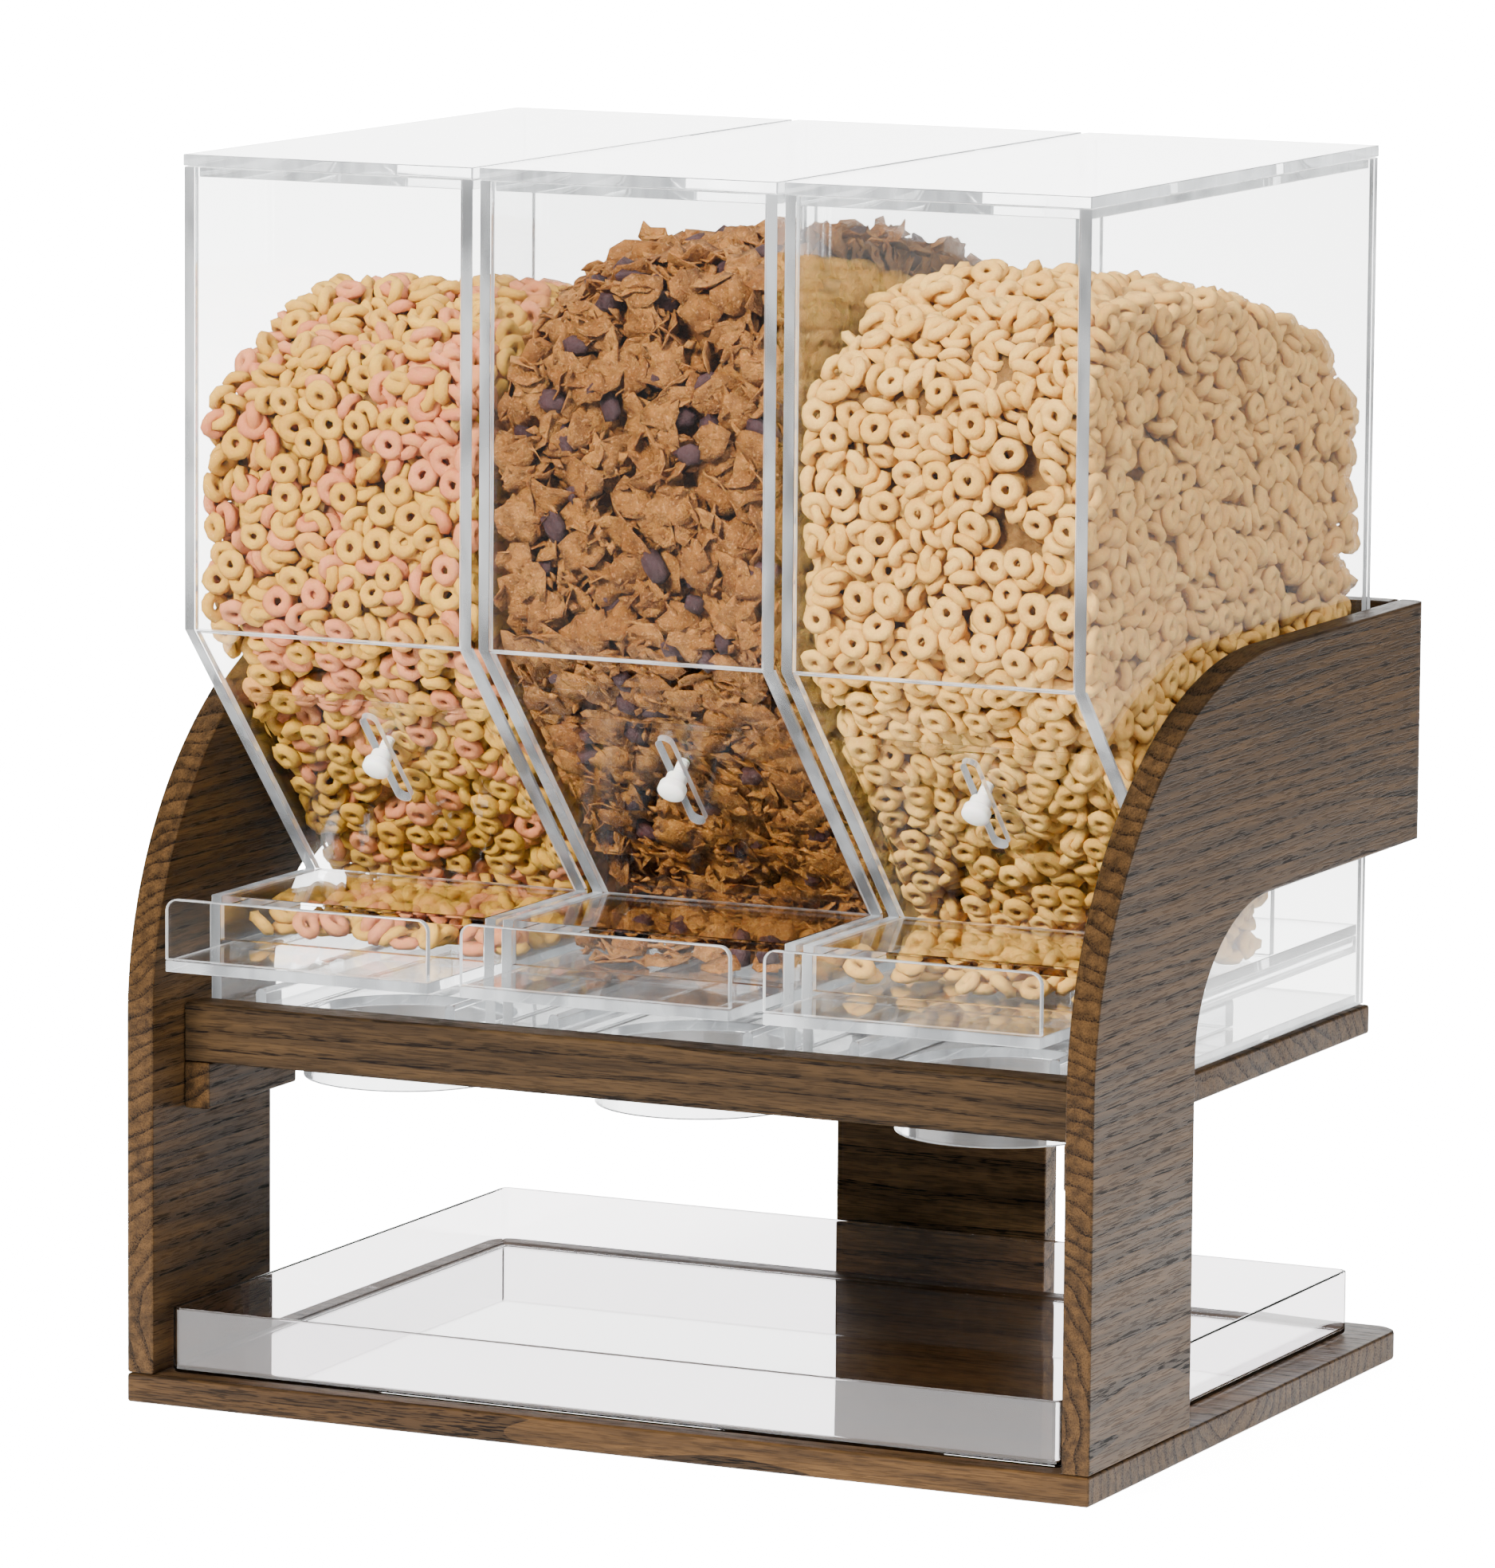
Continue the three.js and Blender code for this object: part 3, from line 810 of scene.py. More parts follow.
# ---- a bin --------------------------------------------------------------------------------
@dataclass
class Bin:
    """One clear bin with its lid, slide, adjustable plate and thumbscrew."""

    place: Place
    sheet: bpy.types.Material
    nylon: bpy.types.Material
    thin: bpy.types.Material
    soft: bpy.types.Material
    tube: bpy.types.Material
    thickness: float = 4.5 * MM
    polish: float = 0.35 * MM
    slot_ends: tuple[float, float] = (52.5 * MM, 98 * MM)
    slot_radius: float = 3.3 * MM
    screw_at: float = 71.5 * MM
    gate_ends: tuple[float, float] = (45 * MM, 150 * MM)
    RUN_PER_FALL: ClassVar[float] = 0.92538
    middle: float = field(init=False)

    def __post_init__(self) -> None:
        """Reads the bin's section from its nodes."""
        low, high = self.box("side_left")
        self.rear, self.top, self.foot = high.y, high.z, low.z
        far = self.box("side_right")[1]
        self.middle = (low.x + far.x) / 2
        self.inside = far.x - self.middle - self.thickness - 0.3 * MM
        self.front = self.box("front_panel")[0].y
        self.knee = self.box("front_panel")[0].z
        nose_low, nose_high = self.box("nose_cover")
        self.nose_front, self.roof = nose_low.y, nose_high.z
        self.plate_top = self.box("slide_plate")[1].z
        self.divider = self.box("hopper_floor")[0].y
        self.slant_foot = self.front + (self.knee - self.roof) * self.RUN_PER_FALL
        reach = np.array([self.slant_foot - self.front, self.roof - self.knee])
        self.along = reach / np.linalg.norm(reach)
        self.inward = np.array([-self.along[1], self.along[0]])

    def box(self, piece: str) -> tuple[Vector, Vector]:
        """The box of one of this bin's nodes."""
        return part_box(f"{self.place.value}_{piece}")

    def body(self, group: str) -> str:
        """The name of one of this bin's moving groups."""
        return f"{group}_{self.place.value}"

    def piece(self, node: str, group: str = "bin", **changes: object) -> Piece:
        """The description of a clear piece that stands for a node.

        Args:
            node: the node's name without the bin's.
            group: which of the bin's moving groups it rides on.
            **changes: what differs from a plain clear piece.

        Returns:
            The description.
        """
        name = f"{self.place.value}_{node}"
        base = Piece(f"{name}_clear", self.body(group), self.sheet, "acrylic", (name,))
        return replace(base, **changes)

    def on_slant(self, distance: float, depth: float) -> tuple[float, float]:
        """Y and Z of a point down the slant and behind its outer face."""
        y, z = np.array([self.front, self.knee]) + distance * self.along + depth * self.inward
        return float(y), float(z)

    def build(self) -> None:
        """Makes every clear piece and the screw."""
        for make in (self.sides, self.flat_panels, self.slant, self.folded, self.floor,
                     self.outlet, self.fence, self.gate, self.screw, self.slide, self.lid):
            make()

    def sides(self) -> None:
        """The two side panels with the bin's whole profile."""
        profile = [
            (self.rear, self.foot), (self.rear, self.top), (self.front, self.top),
            (self.front, self.knee), (self.slant_foot, self.roof), (self.nose_front, self.roof),
            (self.nose_front, self.foot),
        ]
        loop = rounded(profile, self.polish * 0.8, 3)
        for node in ("side_left", "side_right"):
            low, high = self.box(node)
            shape = plate([loop], high.x - low.x, sideways(low.x), self.polish)
            self.piece(node).make(shape)

    def flat_panels(self) -> None:
        """The upright front and rear panels."""
        for node in ("front_panel", "back_panel"):
            low, high = self.box(node)
            loop = rounded(rectangle(low.x, high.x, low.z, high.z), self.polish * 0.8, 3)
            shape = plate([loop], high.y - low.y, facing(high.y), self.polish)
            self.piece(node).make(shape)

    def across(self, section: Sequence, node: str, radius: float | None = None) -> None:
        """A section in Y and Z run between the side panels.

        Args:
            section: its corners, counter-clockwise.
            node: the node it stands for.
            radius: its corner radius, if not the usual polish.
        """
        loop = rounded(section, radius or self.polish * 0.8, 4)
        shape = plate(
            [loop], 2 * self.inside, sideways(self.middle - self.inside), self.polish * 0.8
        )
        sheet = self.soft if node == "nose_cover" else self.sheet
        self.piece(node, edge_sides=3, material=sheet).make(shape)

    def slanted(self, loops: Sequence[np.ndarray], depth: float, thickness: float,
                shape: Callable[[np.ndarray], np.ndarray] | None = None) -> Shape:
        """A plate parallel to the slant, drawn across X and down the slant.

        Args:
            loops: the outline, then any holes.
            depth: of its outer face behind the slant's.
            thickness: of the plate.
            shape: a last change to the points, if any.

        Returns:
            The points and the faces.
        """
        y, z = self.on_slant(0, depth)
        sketch = Sketch((self.middle, y, z), (1, 0, 0), (0, *self.along))
        return plate(loops, thickness, sketch, self.polish, shape=shape)

    def slant(self) -> None:
        """The slanted panel with its long slot."""
        r = self.slot_radius
        first, last = self.slot_ends
        length = float(np.hypot(self.slant_foot - self.front, self.knee - self.roof))
        slot = rounded(rectangle(-r, r, first - r, last + r), r * 0.999, 12)[::-1]
        end = 0.41 * MM
        plan = rectangle(-self.inside, self.inside, end, length - end)
        loop = rounded(plan, self.polish * 0.8, 3)
        shape = self.slanted([loop, slot], 0, self.thickness, self.level_ends)
        self.piece("slant_panel", material=self.soft).make(shape)

    def level_ends(self, points: np.ndarray) -> np.ndarray:
        """Slides points near the slant's ends down it in step with their depth: ends lie level.

        Args:
            points: (n, 3) points, which are changed.

        Returns:
            The points.
        """
        rel = points[:, 1:] - np.array([self.front, self.knee])
        down, depth = rel @ self.along, rel @ self.inward
        ends = (down < 30 * MM) | (down > 120 * MM)
        points[:, 1:] += (RUN / FALL * depth * ends)[:, None] * self.along
        return points

    def folded(self) -> None:
        """The nose cover, and the hopper's sloped floor with its divider."""
        t = self.thickness
        low, high = self.box("nose_cover")
        self.across(
            [
                (low.y, low.z), (low.y + t, low.z), (low.y + t, high.z - t),
                (high.y, high.z - t), (high.y, high.z), (low.y, high.z),
            ],
            "nose_cover",
        )
        low, high = self.box("hopper_floor")
        lift = high.z - high.y
        drop = t * math.sqrt(2)
        self.across(
            [
                (low.y, low.z), (low.y + t, low.z), (low.y + t, low.y + t + lift - drop),
                (high.y, high.y + lift - drop), (high.y, high.z), (low.y, low.y + lift),
            ],
            "hopper_floor",
        )

    def floor(self) -> None:
        """The fixed floor with its two side rails, whose sections are half ellipses."""
        low, high = self.box("rear_floor")
        seam = self.box("slide_plate")[1].y + GAP
        t = self.thickness
        plan = rounded(rectangle(low.x, high.x, seam, high.y), self.polish, 3)
        parts = [plate([plan], t, level(high.z - t), self.polish)]
        rail_top = high.z - t - GAP
        r = (rail_top - low.z) / 2
        for side, x in ((1, low.x), (-1, high.x)):
            arc = ellipse((x, rail_top - r), (side * r * 1.5, r), -90, 90, 17)
            loop = arc if side > 0 else arc[::-1]
            parts.append(plate([loop], high.y - low.y, facing(high.y), 0.3 * MM))
        self.piece("rear_floor", material=self.tube).make(merged(*parts))

    def outlet(self) -> None:
        """The base plate with its round hole, and the collar under it."""
        low, high = self.box("base_plate")
        tube_low, tube_high = self.box("collar")
        cx, cy = (tube_low.x + tube_high.x) / 2, (tube_low.y + tube_high.y) / 2
        outer = (tube_high.x - tube_low.x) / 2
        bore = outer - 3.2 * MM
        plan = rounded(rectangle(low.x, high.x, low.y, high.y), self.polish * 0.8, 3)
        hole = ellipse((cx, cy), (bore, bore), 360, 0, 73)[:-1]
        shape = plate([plan, hole], high.z - low.z, level(low.z), self.polish)
        self.piece("base_plate").make(shape)
        profile = rounded(rectangle(bore, outer, 0, tube_high.z - tube_low.z), 0.6 * MM, 4)
        axis = Sketch((cx, cy, tube_low.z), (1, 0, 0), (0, 1, 0))
        self.piece("collar", material=self.tube).make(revolve(profile, axis, 96, tube=True))

    def fence(self) -> None:
        """The fence round the rear of the outlet, with a rounded top."""
        low, high = self.box("fence")
        w = 4.6 * MM
        plan = rounded(
            [
                (low.x, low.y), (low.x + w, low.y), (low.x + w, high.y - w),
                (high.x - w, high.y - w), (high.x - w, low.y), (high.x, low.y),
                (high.x, high.y), (low.x, high.y),
            ],
            self.polish, 3,
        )
        shape = plate([plan], high.z - low.z, level(low.z), self.polish, 2.1 * MM, 7)
        self.piece("fence", material=self.tube).make(shape)

    def gate(self) -> None:
        """The adjustable plate behind the slant, with the screw's hole."""
        half = (self.box("gate_plate")[1].x - self.box("gate_plate")[0].x) / 2
        start, end = self.gate_ends
        loop = rounded(rectangle(-half, half, start, end), 1.5 * MM, 5)
        hole = ellipse((0, self.screw_at), (2.9 * MM, 2.9 * MM), 360, 0, 33)[:-1]
        shape = self.slanted([loop, hole], self.thickness + GAP, 3 * MM)
        self.piece("gate_plate", "gate", material=self.thin).make(shape)

    def screw(self) -> None:
        """The round-headed thumbscrew: a domed cap on a collar, and a threaded shank."""
        p = np.linspace(0, math.pi / 2, 9)[1:]
        dome = np.stack([5.8 * np.sin(p), -10.3 + 2.2 * (1 - np.cos(p))], 1)
        brim = np.array([[5.8, -5.4], [5.7, -5.0], [5.4, -4.75], [4.9, -4.7], [3.5, -4.7],
                         [3.4, -4.6]])
        neck = np.array([[3.4, -4.1], [3.5, -4.0], [4.1, -4.0], [4.4, -3.8], [4.4, -0.8],
                         [4.3, -0.45], [4.0, -0.3], [2.8, -0.3], [2.6, -0.2]])
        turns = np.linspace(0.2, 10.2, 61)
        shank = np.stack([2.45 + 0.13 * np.cos(2 * math.pi * turns / 1.27), turns], 1)
        tip = np.array([[2.3, 10.4], [0.4, 10.5]])
        profile = np.concatenate([dome, brim, neck, shank, tip]) * MM
        y, z = self.on_slant(self.screw_at, 0)
        across, inward = (1.0, 0.0, 0.0), (0.0, *self.inward)
        sketch = Sketch((self.middle, y, z), across, tuple(np.cross(inward, across)))
        name = f"{self.place.value}_thumb_screw"
        piece = Piece(f"{name}_nylon", self.body("screw"), self.nylon, "nylon", (name,))
        piece.make(revolve(profile, sketch, 40))

    def slide(self) -> None:
        """The slide plate and the handle plate on its front edge."""
        low, high = self.box("slide_plate")
        plan = rounded(rectangle(low.x, high.x, low.y, high.y), 0.7 * MM, 4)
        shape = plate([plan], high.z - low.z, level(low.z), self.polish)
        self.piece("slide_plate", "slide").make(shape)
        low, high = self.box("handle_plate")
        radii = [0.5 * MM, 0.5 * MM, 5 * MM, 5 * MM]
        face = rounded(rectangle(low.x, high.x, low.z, high.z), radii, 10)
        shape = plate([face], high.y - low.y, facing(high.y), 0.5 * MM)
        self.piece("handle_plate", "slide").make(shape)

    def lid(self) -> None:
        """The cover plate with its smaller locating plate under it."""
        low, high = self.box("lid")
        step, seam = 5.4 * MM, self.top + GAP
        cover = rounded(rectangle(low.x, high.x, low.y, high.y), 0.8 * MM, 4)
        inner = rounded(
            rectangle(low.x + step, high.x - step, low.y + step, high.y - step), 0.8 * MM, 4
        )
        upper = plate([cover], high.z - seam, level(seam), self.polish)
        lower = plate([inner], seam - low.z - 0.05 * MM, level(low.z), self.polish)
        self.piece("lid", "lid").make(merged(upper, lower))


# ---- the cereal ---------------------------------------------------------------------------
ITEM_ROOM = 700e-9  # cubic metres of shell for each item, before a bin's own share


class Kind(Enum):
    """What one item of cereal is, with the half sizes of the six balls that stand for it."""

    RING = ((4.05, 4.05, 0.0), 2.45)
    FLAKE = ((6.0, 4.8, 0.0), 1.2)
    RAISIN = ((3.0, 2.0, 0.6), 3.0)
    CRUMB = ((1.5, 1.2, 0.2), 0.9)


@dataclass(frozen=True)
class Vessel:
    """The space a fill may use: a section in Y and Z, run across X, below a heap's top."""

    section: np.ndarray
    middle: float
    half: float
    top: Callable[[np.ndarray, np.ndarray], np.ndarray]
    free: Callable[[np.ndarray], np.ndarray] = lambda p: p

    def contain(self, p: np.ndarray) -> np.ndarray:
        """Brings points that stand beyond a wall back to it, and out of what is kept free.

        Args:
            p: (n, 3) points, which are changed.

        Returns:
            The points.
        """
        flat, toward = self.to_section(p)
        p[:, 1:] += toward * np.clip(-flat, 0, None)[:, None]
        p[:, 0] = np.clip(p[:, 0], self.middle - self.half, self.middle + self.half)
        return self.free(p)

    def to_section(self, p: np.ndarray) -> tuple[np.ndarray, np.ndarray]:
        """Distance inside the section's outline, and the inward direction, for each point.

        Args:
            p: (n, 3) points.

        Returns:
            Distances, negative outside, and (n, 2) unit directions in Y and Z.
        """
        a, b = self.section, np.roll(self.section, -1, 0)
        ab, q = b - a, p[:, None, 1:] - self.section
        t = np.clip((q * ab).sum(-1) / (ab * ab).sum(-1), 0, 1)
        away = q - t[..., None] * ab
        gap = np.linalg.norm(away, axis=-1)
        k = gap.argmin(1)
        row = np.arange(len(p))
        y, z = p[:, 1:2], p[:, 2:3]
        rise = np.where(np.abs(ab[:, 1]) < 1e-12, 1e-12, ab[:, 1])
        spans = (a[:, 1] > z) != (b[:, 1] > z)
        crossed = spans & (y < ab[:, 0] * (z - a[:, 1]) / rise + a[:, 0])
        inside = np.where(crossed.sum(1) % 2 == 1, 1.0, -1.0)
        near = gap[row, k]
        return near * inside, away[row, k] / np.maximum(near, 1e-9)[:, None] * inside[:, None]

    def depth(self, p: np.ndarray) -> tuple[np.ndarray, np.ndarray]:
        """Least distance to a wall or the heap's top, and which way leads inward.

        Args:
            p: (n, 3) points.

        Returns:
            Distances and (n, 3) directions.
        """
        flat, toward = self.to_section(p)
        x = p[:, 0] - self.middle
        side = self.half - np.abs(x)
        cover = (self.top(x, p[:, 1]) - p[:, 2]) * 0.9
        every = np.stack([flat, side, cover], 1)
        zero = np.zeros(len(p))
        ways = np.stack([
            np.stack([zero, toward[:, 0], toward[:, 1]], 1),
            np.stack([-np.sign(x), zero, zero], 1),
            np.stack([zero, zero, zero - 1], 1),
        ], 1)
        k = every.argmin(1)
        row = np.arange(len(p))
        return every[row, k], ways[row, k]


def near_pairs(p: np.ndarray, reach: float) -> tuple[np.ndarray, np.ndarray]:
    """Indices of points that lie in the same or a neighbouring cell of a cubic grid.

    Args:
        p: (n, 3) points.
        reach: the cell's side.

    Returns:
        The first and second index of each pair, each pair once.
    """
    cell = np.floor((p - p.min(0)) / reach).astype(np.int64) + 1
    size = cell.max(0) + 2
    key = (cell[:, 0] * size[1] + cell[:, 1]) * size[2] + cell[:, 2]
    order = np.argsort(key, kind="stable")
    ranked = key[order]
    firsts, seconds = [], []
    steps = [s for s in np.ndindex(3, 3, 3) if s > (1, 1, 1)] + [(1, 1, 1)]
    for i, j, k in steps:
        target = key + ((i - 1) * size[1] + (j - 1)) * size[2] + (k - 1)
        low = np.searchsorted(ranked, target, "left")
        count = np.searchsorted(ranked, target, "right") - low
        first = np.repeat(np.arange(len(p)), count)
        place = np.arange(count.sum()) - np.repeat(np.cumsum(count) - count, count)
        second = order[np.repeat(low, count) + place]
        keep = first < second if (i, j, k) == (1, 1, 1) else np.ones(len(first), bool)
        firsts.append(first[keep])
        seconds.append(second[keep])
    return np.concatenate(firsts), np.concatenate(seconds)


@dataclass
class Heap:
    """Items packed behind a vessel's walls, each held rigid while overlaps are pushed apart.

    Each item is six balls. In every round overlapping balls of two items move half the overlap
    apart and balls beyond a wall move inside it; then each item takes the turn and place that
    best fit its balls, by the polar part of the sum of (ball - centre)(template)^T.
    """

    vessel: Vessel
    kinds: dict[Kind, float]
    shell: float = 13 * MM
    share: float = 1.0
    seed: int = 1
    rounds: int = 56
    scale: np.ndarray = field(init=False)
    kind: np.ndarray = field(init=False)
    turn: np.ndarray = field(init=False)
    centre: np.ndarray = field(init=False)
    form: np.ndarray = field(init=False)
    radius: np.ndarray = field(init=False)

    def pack(self) -> None:
        """Scatters the items through the shell, settles them and drops the strays."""
        self.scatter()
        pairs = (np.zeros(0, int), np.zeros(0, int))
        for step in range(self.rounds):
            p = self.balls()
            if step % 4 == 0:
                pairs = self.neighbours(p)
            self.part(p, *pairs)
            p[:, 2] -= 0.08 * MM
            self.refit(self.held(p))
        self.drop_strays()

    def scatter(self) -> None:
        """Strews the items through the shell, most of them lying along the nearest wall."""
        rng = np.random.default_rng(self.seed)
        names = list(self.kinds)
        low = np.array([self.vessel.middle - self.vessel.half, *self.vessel.section.min(0)])
        high = np.array([self.vessel.middle + self.vessel.half, *self.vessel.section.max(0)])
        cloud = rng.uniform(low, high, (60000, 3))
        deep, way = self.vessel.depth(cloud)
        fits = (deep > 2.0 * MM) & (deep < self.shell)
        volume = fits.mean() * np.prod(high - low)
        count = min(int(volume / ITEM_ROOM * self.share), int(fits.sum()))
        pick = rng.permutation(np.flatnonzero(fits))[:count]
        self.centre, way = cloud[pick], way[pick]
        self.kind = rng.choice(len(names), count, p=np.array([self.kinds[k] for k in names]))
        sizes = np.array([k.value[0] for k in names]) * MM
        balls = np.array([k.value[1] for k in names]) * MM
        self.scale = rng.uniform(0.92, 1.07, count)
        lead = way * rng.uniform(0, 2.2, (count, 1)) + rng.normal(0, 0.6, (count, 3))
        lead /= np.linalg.norm(lead, axis=1, keepdims=True)
        other = np.cross(lead, rng.normal(size=(count, 3)))
        other /= np.linalg.norm(other, axis=1, keepdims=True)
        self.turn = np.stack([other, np.cross(lead, other), lead], 2)
        t = np.arange(6) * math.pi / 3
        unit = np.stack([np.cos(t), np.sin(t), np.cos(3 * t)], 1)
        self.form = unit[None] * (sizes[self.kind] * self.scale[:, None])[:, None]
        self.radius = np.repeat(balls[self.kind] * self.scale, 6)

    def balls(self) -> np.ndarray:
        """The balls' centres, six for each item: the item's centre + turn (template)."""
        spread = np.einsum("nij,nkj->nki", self.turn, self.form)
        return (self.centre[:, None] + spread).reshape(-1, 3)

    def neighbours(self, p: np.ndarray) -> tuple[np.ndarray, np.ndarray]:
        """Pairs of balls of two items that may come to touch in the next few rounds.

        Args:
            p: (n, 3) centres.

        Returns:
            The first and second index of each pair.
        """
        one, two = near_pairs(p, 2 * self.radius.max() + 0.8 * MM)
        keep = one // 6 != two // 6
        return one[keep], two[keep]

    def part(self, p: np.ndarray, one: np.ndarray, two: np.ndarray) -> None:
        """Moves each ball of an overlapping pair half the overlap away from the other.

        Args:
            p: (n, 3) centres, which are changed.
            one: the first ball of each pair.
            two: the second.
        """
        apart = p[two] - p[one]
        gap = np.linalg.norm(apart, axis=1)
        over = self.radius[one] + self.radius[two] - gap
        hit = over > 0
        shift = (0.5 * over[hit] / np.maximum(gap[hit], 1e-9))[:, None] * apart[hit]
        for axis in range(3):
            p[:, axis] += np.bincount(two[hit], shift[:, axis], len(p)) - np.bincount(
                one[hit], shift[:, axis], len(p)
            )

    def refit(self, p: np.ndarray) -> None:
        """Gives each item the place and turn that best fit its balls, and keeps it in the shell.

        Args:
            p: (n, 3) centres of the balls.
        """
        p = p.reshape(-1, 6, 3)
        self.centre = p.mean(1)
        u, _, v = np.linalg.svd(np.einsum("nki,nkj->nij", p - self.centre[:, None], self.form))
        u[:, :, 2] *= np.linalg.det(u @ v)[:, None]
        self.turn = u @ v
        deep, way = self.vessel.depth(self.centre)
        beyond = np.clip(deep - self.shell, 0, 2 * MM)
        self.centre -= way * (0.5 * beyond)[:, None]

    def drop_strays(self) -> None:
        """Leaves out the items that still stand in a wall."""
        p = self.balls()
        flat, _ = self.vessel.to_section(p)
        side = self.vessel.half - np.abs(p[:, 0] - self.vessel.middle)
        stray = (np.minimum(flat, side) - self.radius).reshape(-1, 6).min(1) < -0.35 * MM
        log.info("heap: %d items, %d left out at the walls", len(stray), int(stray.sum()))
        for name in ("centre", "turn", "scale", "kind"):
            setattr(self, name, getattr(self, name)[~stray])

    def held(self, p: np.ndarray) -> np.ndarray:
        """Balls moved inside the walls and under the heap's top.

        Args:
            p: (n, 3) centres, which are changed.

        Returns:
            The centres.
        """
        flat, toward = self.vessel.to_section(p)
        p[:, 1:] += toward * np.clip(self.radius - flat, 0, None)[:, None]
        reach = self.vessel.half - self.radius
        x = np.clip(p[:, 0] - self.vessel.middle, -reach, reach)
        p[:, 0] = x + self.vessel.middle
        roof = self.vessel.top(x, p[:, 1])
        p[:, 2] = np.minimum(p[:, 2], np.maximum(roof, p[:, 2] - 0.5 * MM))
        return p

    def members(self, kind: Kind) -> np.ndarray:
        """Indices of the items of one kind."""
        return np.flatnonzero(self.kind == list(self.kinds).index(kind))


@dataclass
class Grainery:
    """Turns packed items into one mesh: each is the same small net of points, reshaped."""

    seed: int = 3

    def net(self, kind: Kind) -> tuple[np.ndarray, np.ndarray, Faces]:
        """The net of an item: two angles for each point and the faces.

        Args:
            kind: what it is.

        Returns:
            The first and second parameter and the faces.
        """
        if kind is Kind.RING:
            around, across = 12, 5
            i, j = np.meshgrid(np.arange(around), np.arange(across), indexing="ij")
            return i.ravel() / around, j.ravel() / across, ring_faces(around, across, closed=True)
        around, rows = (10, 4) if kind is Kind.FLAKE else (8, 5) if kind is Kind.RAISIN else (5, 3)
        i, j = np.meshgrid(np.arange(rows), np.arange(around), indexing="ij")
        faces = ring_faces(rows, around)
        faces += [list(range(around))[::-1], list(range((rows - 1) * around, rows * around))]
        return (i.ravel() + 0.5) / rows, j.ravel() / around, faces

    def shape(self, heap: Heap, kind: Kind, members: np.ndarray) -> tuple[Shape, np.ndarray]:
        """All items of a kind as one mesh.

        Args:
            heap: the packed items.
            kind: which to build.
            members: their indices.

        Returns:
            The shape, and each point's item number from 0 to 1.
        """
        rng = np.random.default_rng(self.seed + len(members))
        u, v, faces = self.net(kind)
        n, m = len(members), len(u)
        jitter = rng.uniform(0, 2 * math.pi, (n, 5, 1))
        swing = rng.uniform(-1, 1, (n, 5, 1))
        b = 2 * math.pi * v[None]
        if kind is Kind.RING:
            local = self.ring(2 * math.pi * u[None], b, jitter, swing)
        elif kind is Kind.FLAKE:
            local = self.flake(u, b, jitter, swing)
            crease = rng.normal(0, 1, (n, 2, len(np.unique(v)), 3))
            local += np.array([0.65, 0.65, 0.8]) * crease[:, [0, 1, 1, 0]].reshape(n, m, 3)
        else:
            s = math.pi * (0.04 + 0.92 * (u[None] - u.min()) / (u.max() - u.min()))
            local = self.lump(kind, s, b, jitter)
        local = local * (MM * heap.scale[members])[:, None, None]
        turned = np.einsum("nij,nkj->nki", heap.turn[members], local)
        points = heap.centre[members][:, None] + turned
        starts = (np.arange(n) * m)[:, None].tolist()
        every = [[i + s[0] for i in face] for s in starts for face in faces]
        return (points.reshape(-1, 3), every), np.repeat(rng.uniform(0, 1, n), m)

    @staticmethod
    def ring(a: np.ndarray, b: np.ndarray, jitter: np.ndarray, swing: np.ndarray) -> np.ndarray:
        """Rings: (R + r cos b) round and r sin b high, R and r swelling as cos 2a and cos 3a.

        Args:
            a: angles round the ring.
            b: angles round its section.
            jitter: five angles for each item.
            swing: five numbers from -1 to 1 for each item.

        Returns:
            Points in millimetres.
        """
        reach = 4.05 * (1 + 0.05 * swing[:, 0] * np.cos(2 * a + jitter[:, 0]))
        swell = 0.07 * np.cos(3 * a + jitter[:, 1]) + 0.06 * np.cos(5 * a + jitter[:, 2])
        thick = 2.75 * (1 + swell)
        x = (reach + thick * np.cos(b)) * np.cos(a)
        y = (reach + thick * np.cos(b)) * np.sin(a)
        z = thick * np.sin(b) * (0.97 + 0.1 * swing[:, 3]) + 0.35 * swing[:, 4] * np.cos(2 * a)
        return np.stack([x, y, z], 2)

    @staticmethod
    def flake(u: np.ndarray, b: np.ndarray, jitter: np.ndarray, swing: np.ndarray) -> np.ndarray:
        """Flakes: thin domes with a wandering edge, lifted as cos 2b and cos 4b.

        Args:
            u: each point's row, over and under.
            b: angles round the flake.
            jitter: five angles for each item.
            swing: five numbers from -1 to 1 for each item.

        Returns:
            Points in millimetres.
        """
        row = (np.round(u * 4 - 0.5)).astype(int)
        polar = np.array([0.35, 0.97, 1.0, 0.4])[row][None]
        face = np.array([1.0, 0.6, -0.6, -1.0])[row][None]
        edge = 1 + 0.11 * np.cos(3 * b + jitter[:, 0]) + 0.06 * np.cos(5 * b + jitter[:, 1])
        x = 9.6 * polar * edge * np.cos(b)
        y = 7.8 * polar * edge * np.sin(b)
        curl = 2.2 * swing[:, 2] * np.cos(2 * b + jitter[:, 2]) + np.cos(4 * b + jitter[:, 3])
        z = polar**2 * curl + 1.5 * swing[:, 4] * (1 - polar) + 0.5 * face
        return np.stack([x, y, z], 2)

    @staticmethod
    def lump(kind: Kind, s: np.ndarray, b: np.ndarray, jitter: np.ndarray) -> np.ndarray:
        """Raisins and crumbs: ellipsoids with folds as cos 4b and cos 3s.

        Args:
            kind: which of the two.
            s: angles from one end to the other.
            b: angles round.
            jitter: five angles for each item.

        Returns:
            Points in millimetres.
        """
        fold = 1 + 0.13 * np.cos(4 * b + jitter[:, 0] + 2 * s)
        fold = fold + 0.1 * np.cos(3 * s + jitter[:, 1])
        size = (6.8, 4.8, 4.0) if kind is Kind.RAISIN else (3.0, 2.2, 1.1)
        x = size[0] * fold * np.cos(s)
        y = size[1] * fold * np.sin(s) * np.cos(b)
        z = size[2] * fold * np.sin(s) * np.sin(b)
        return np.stack([x, y, z], 2)


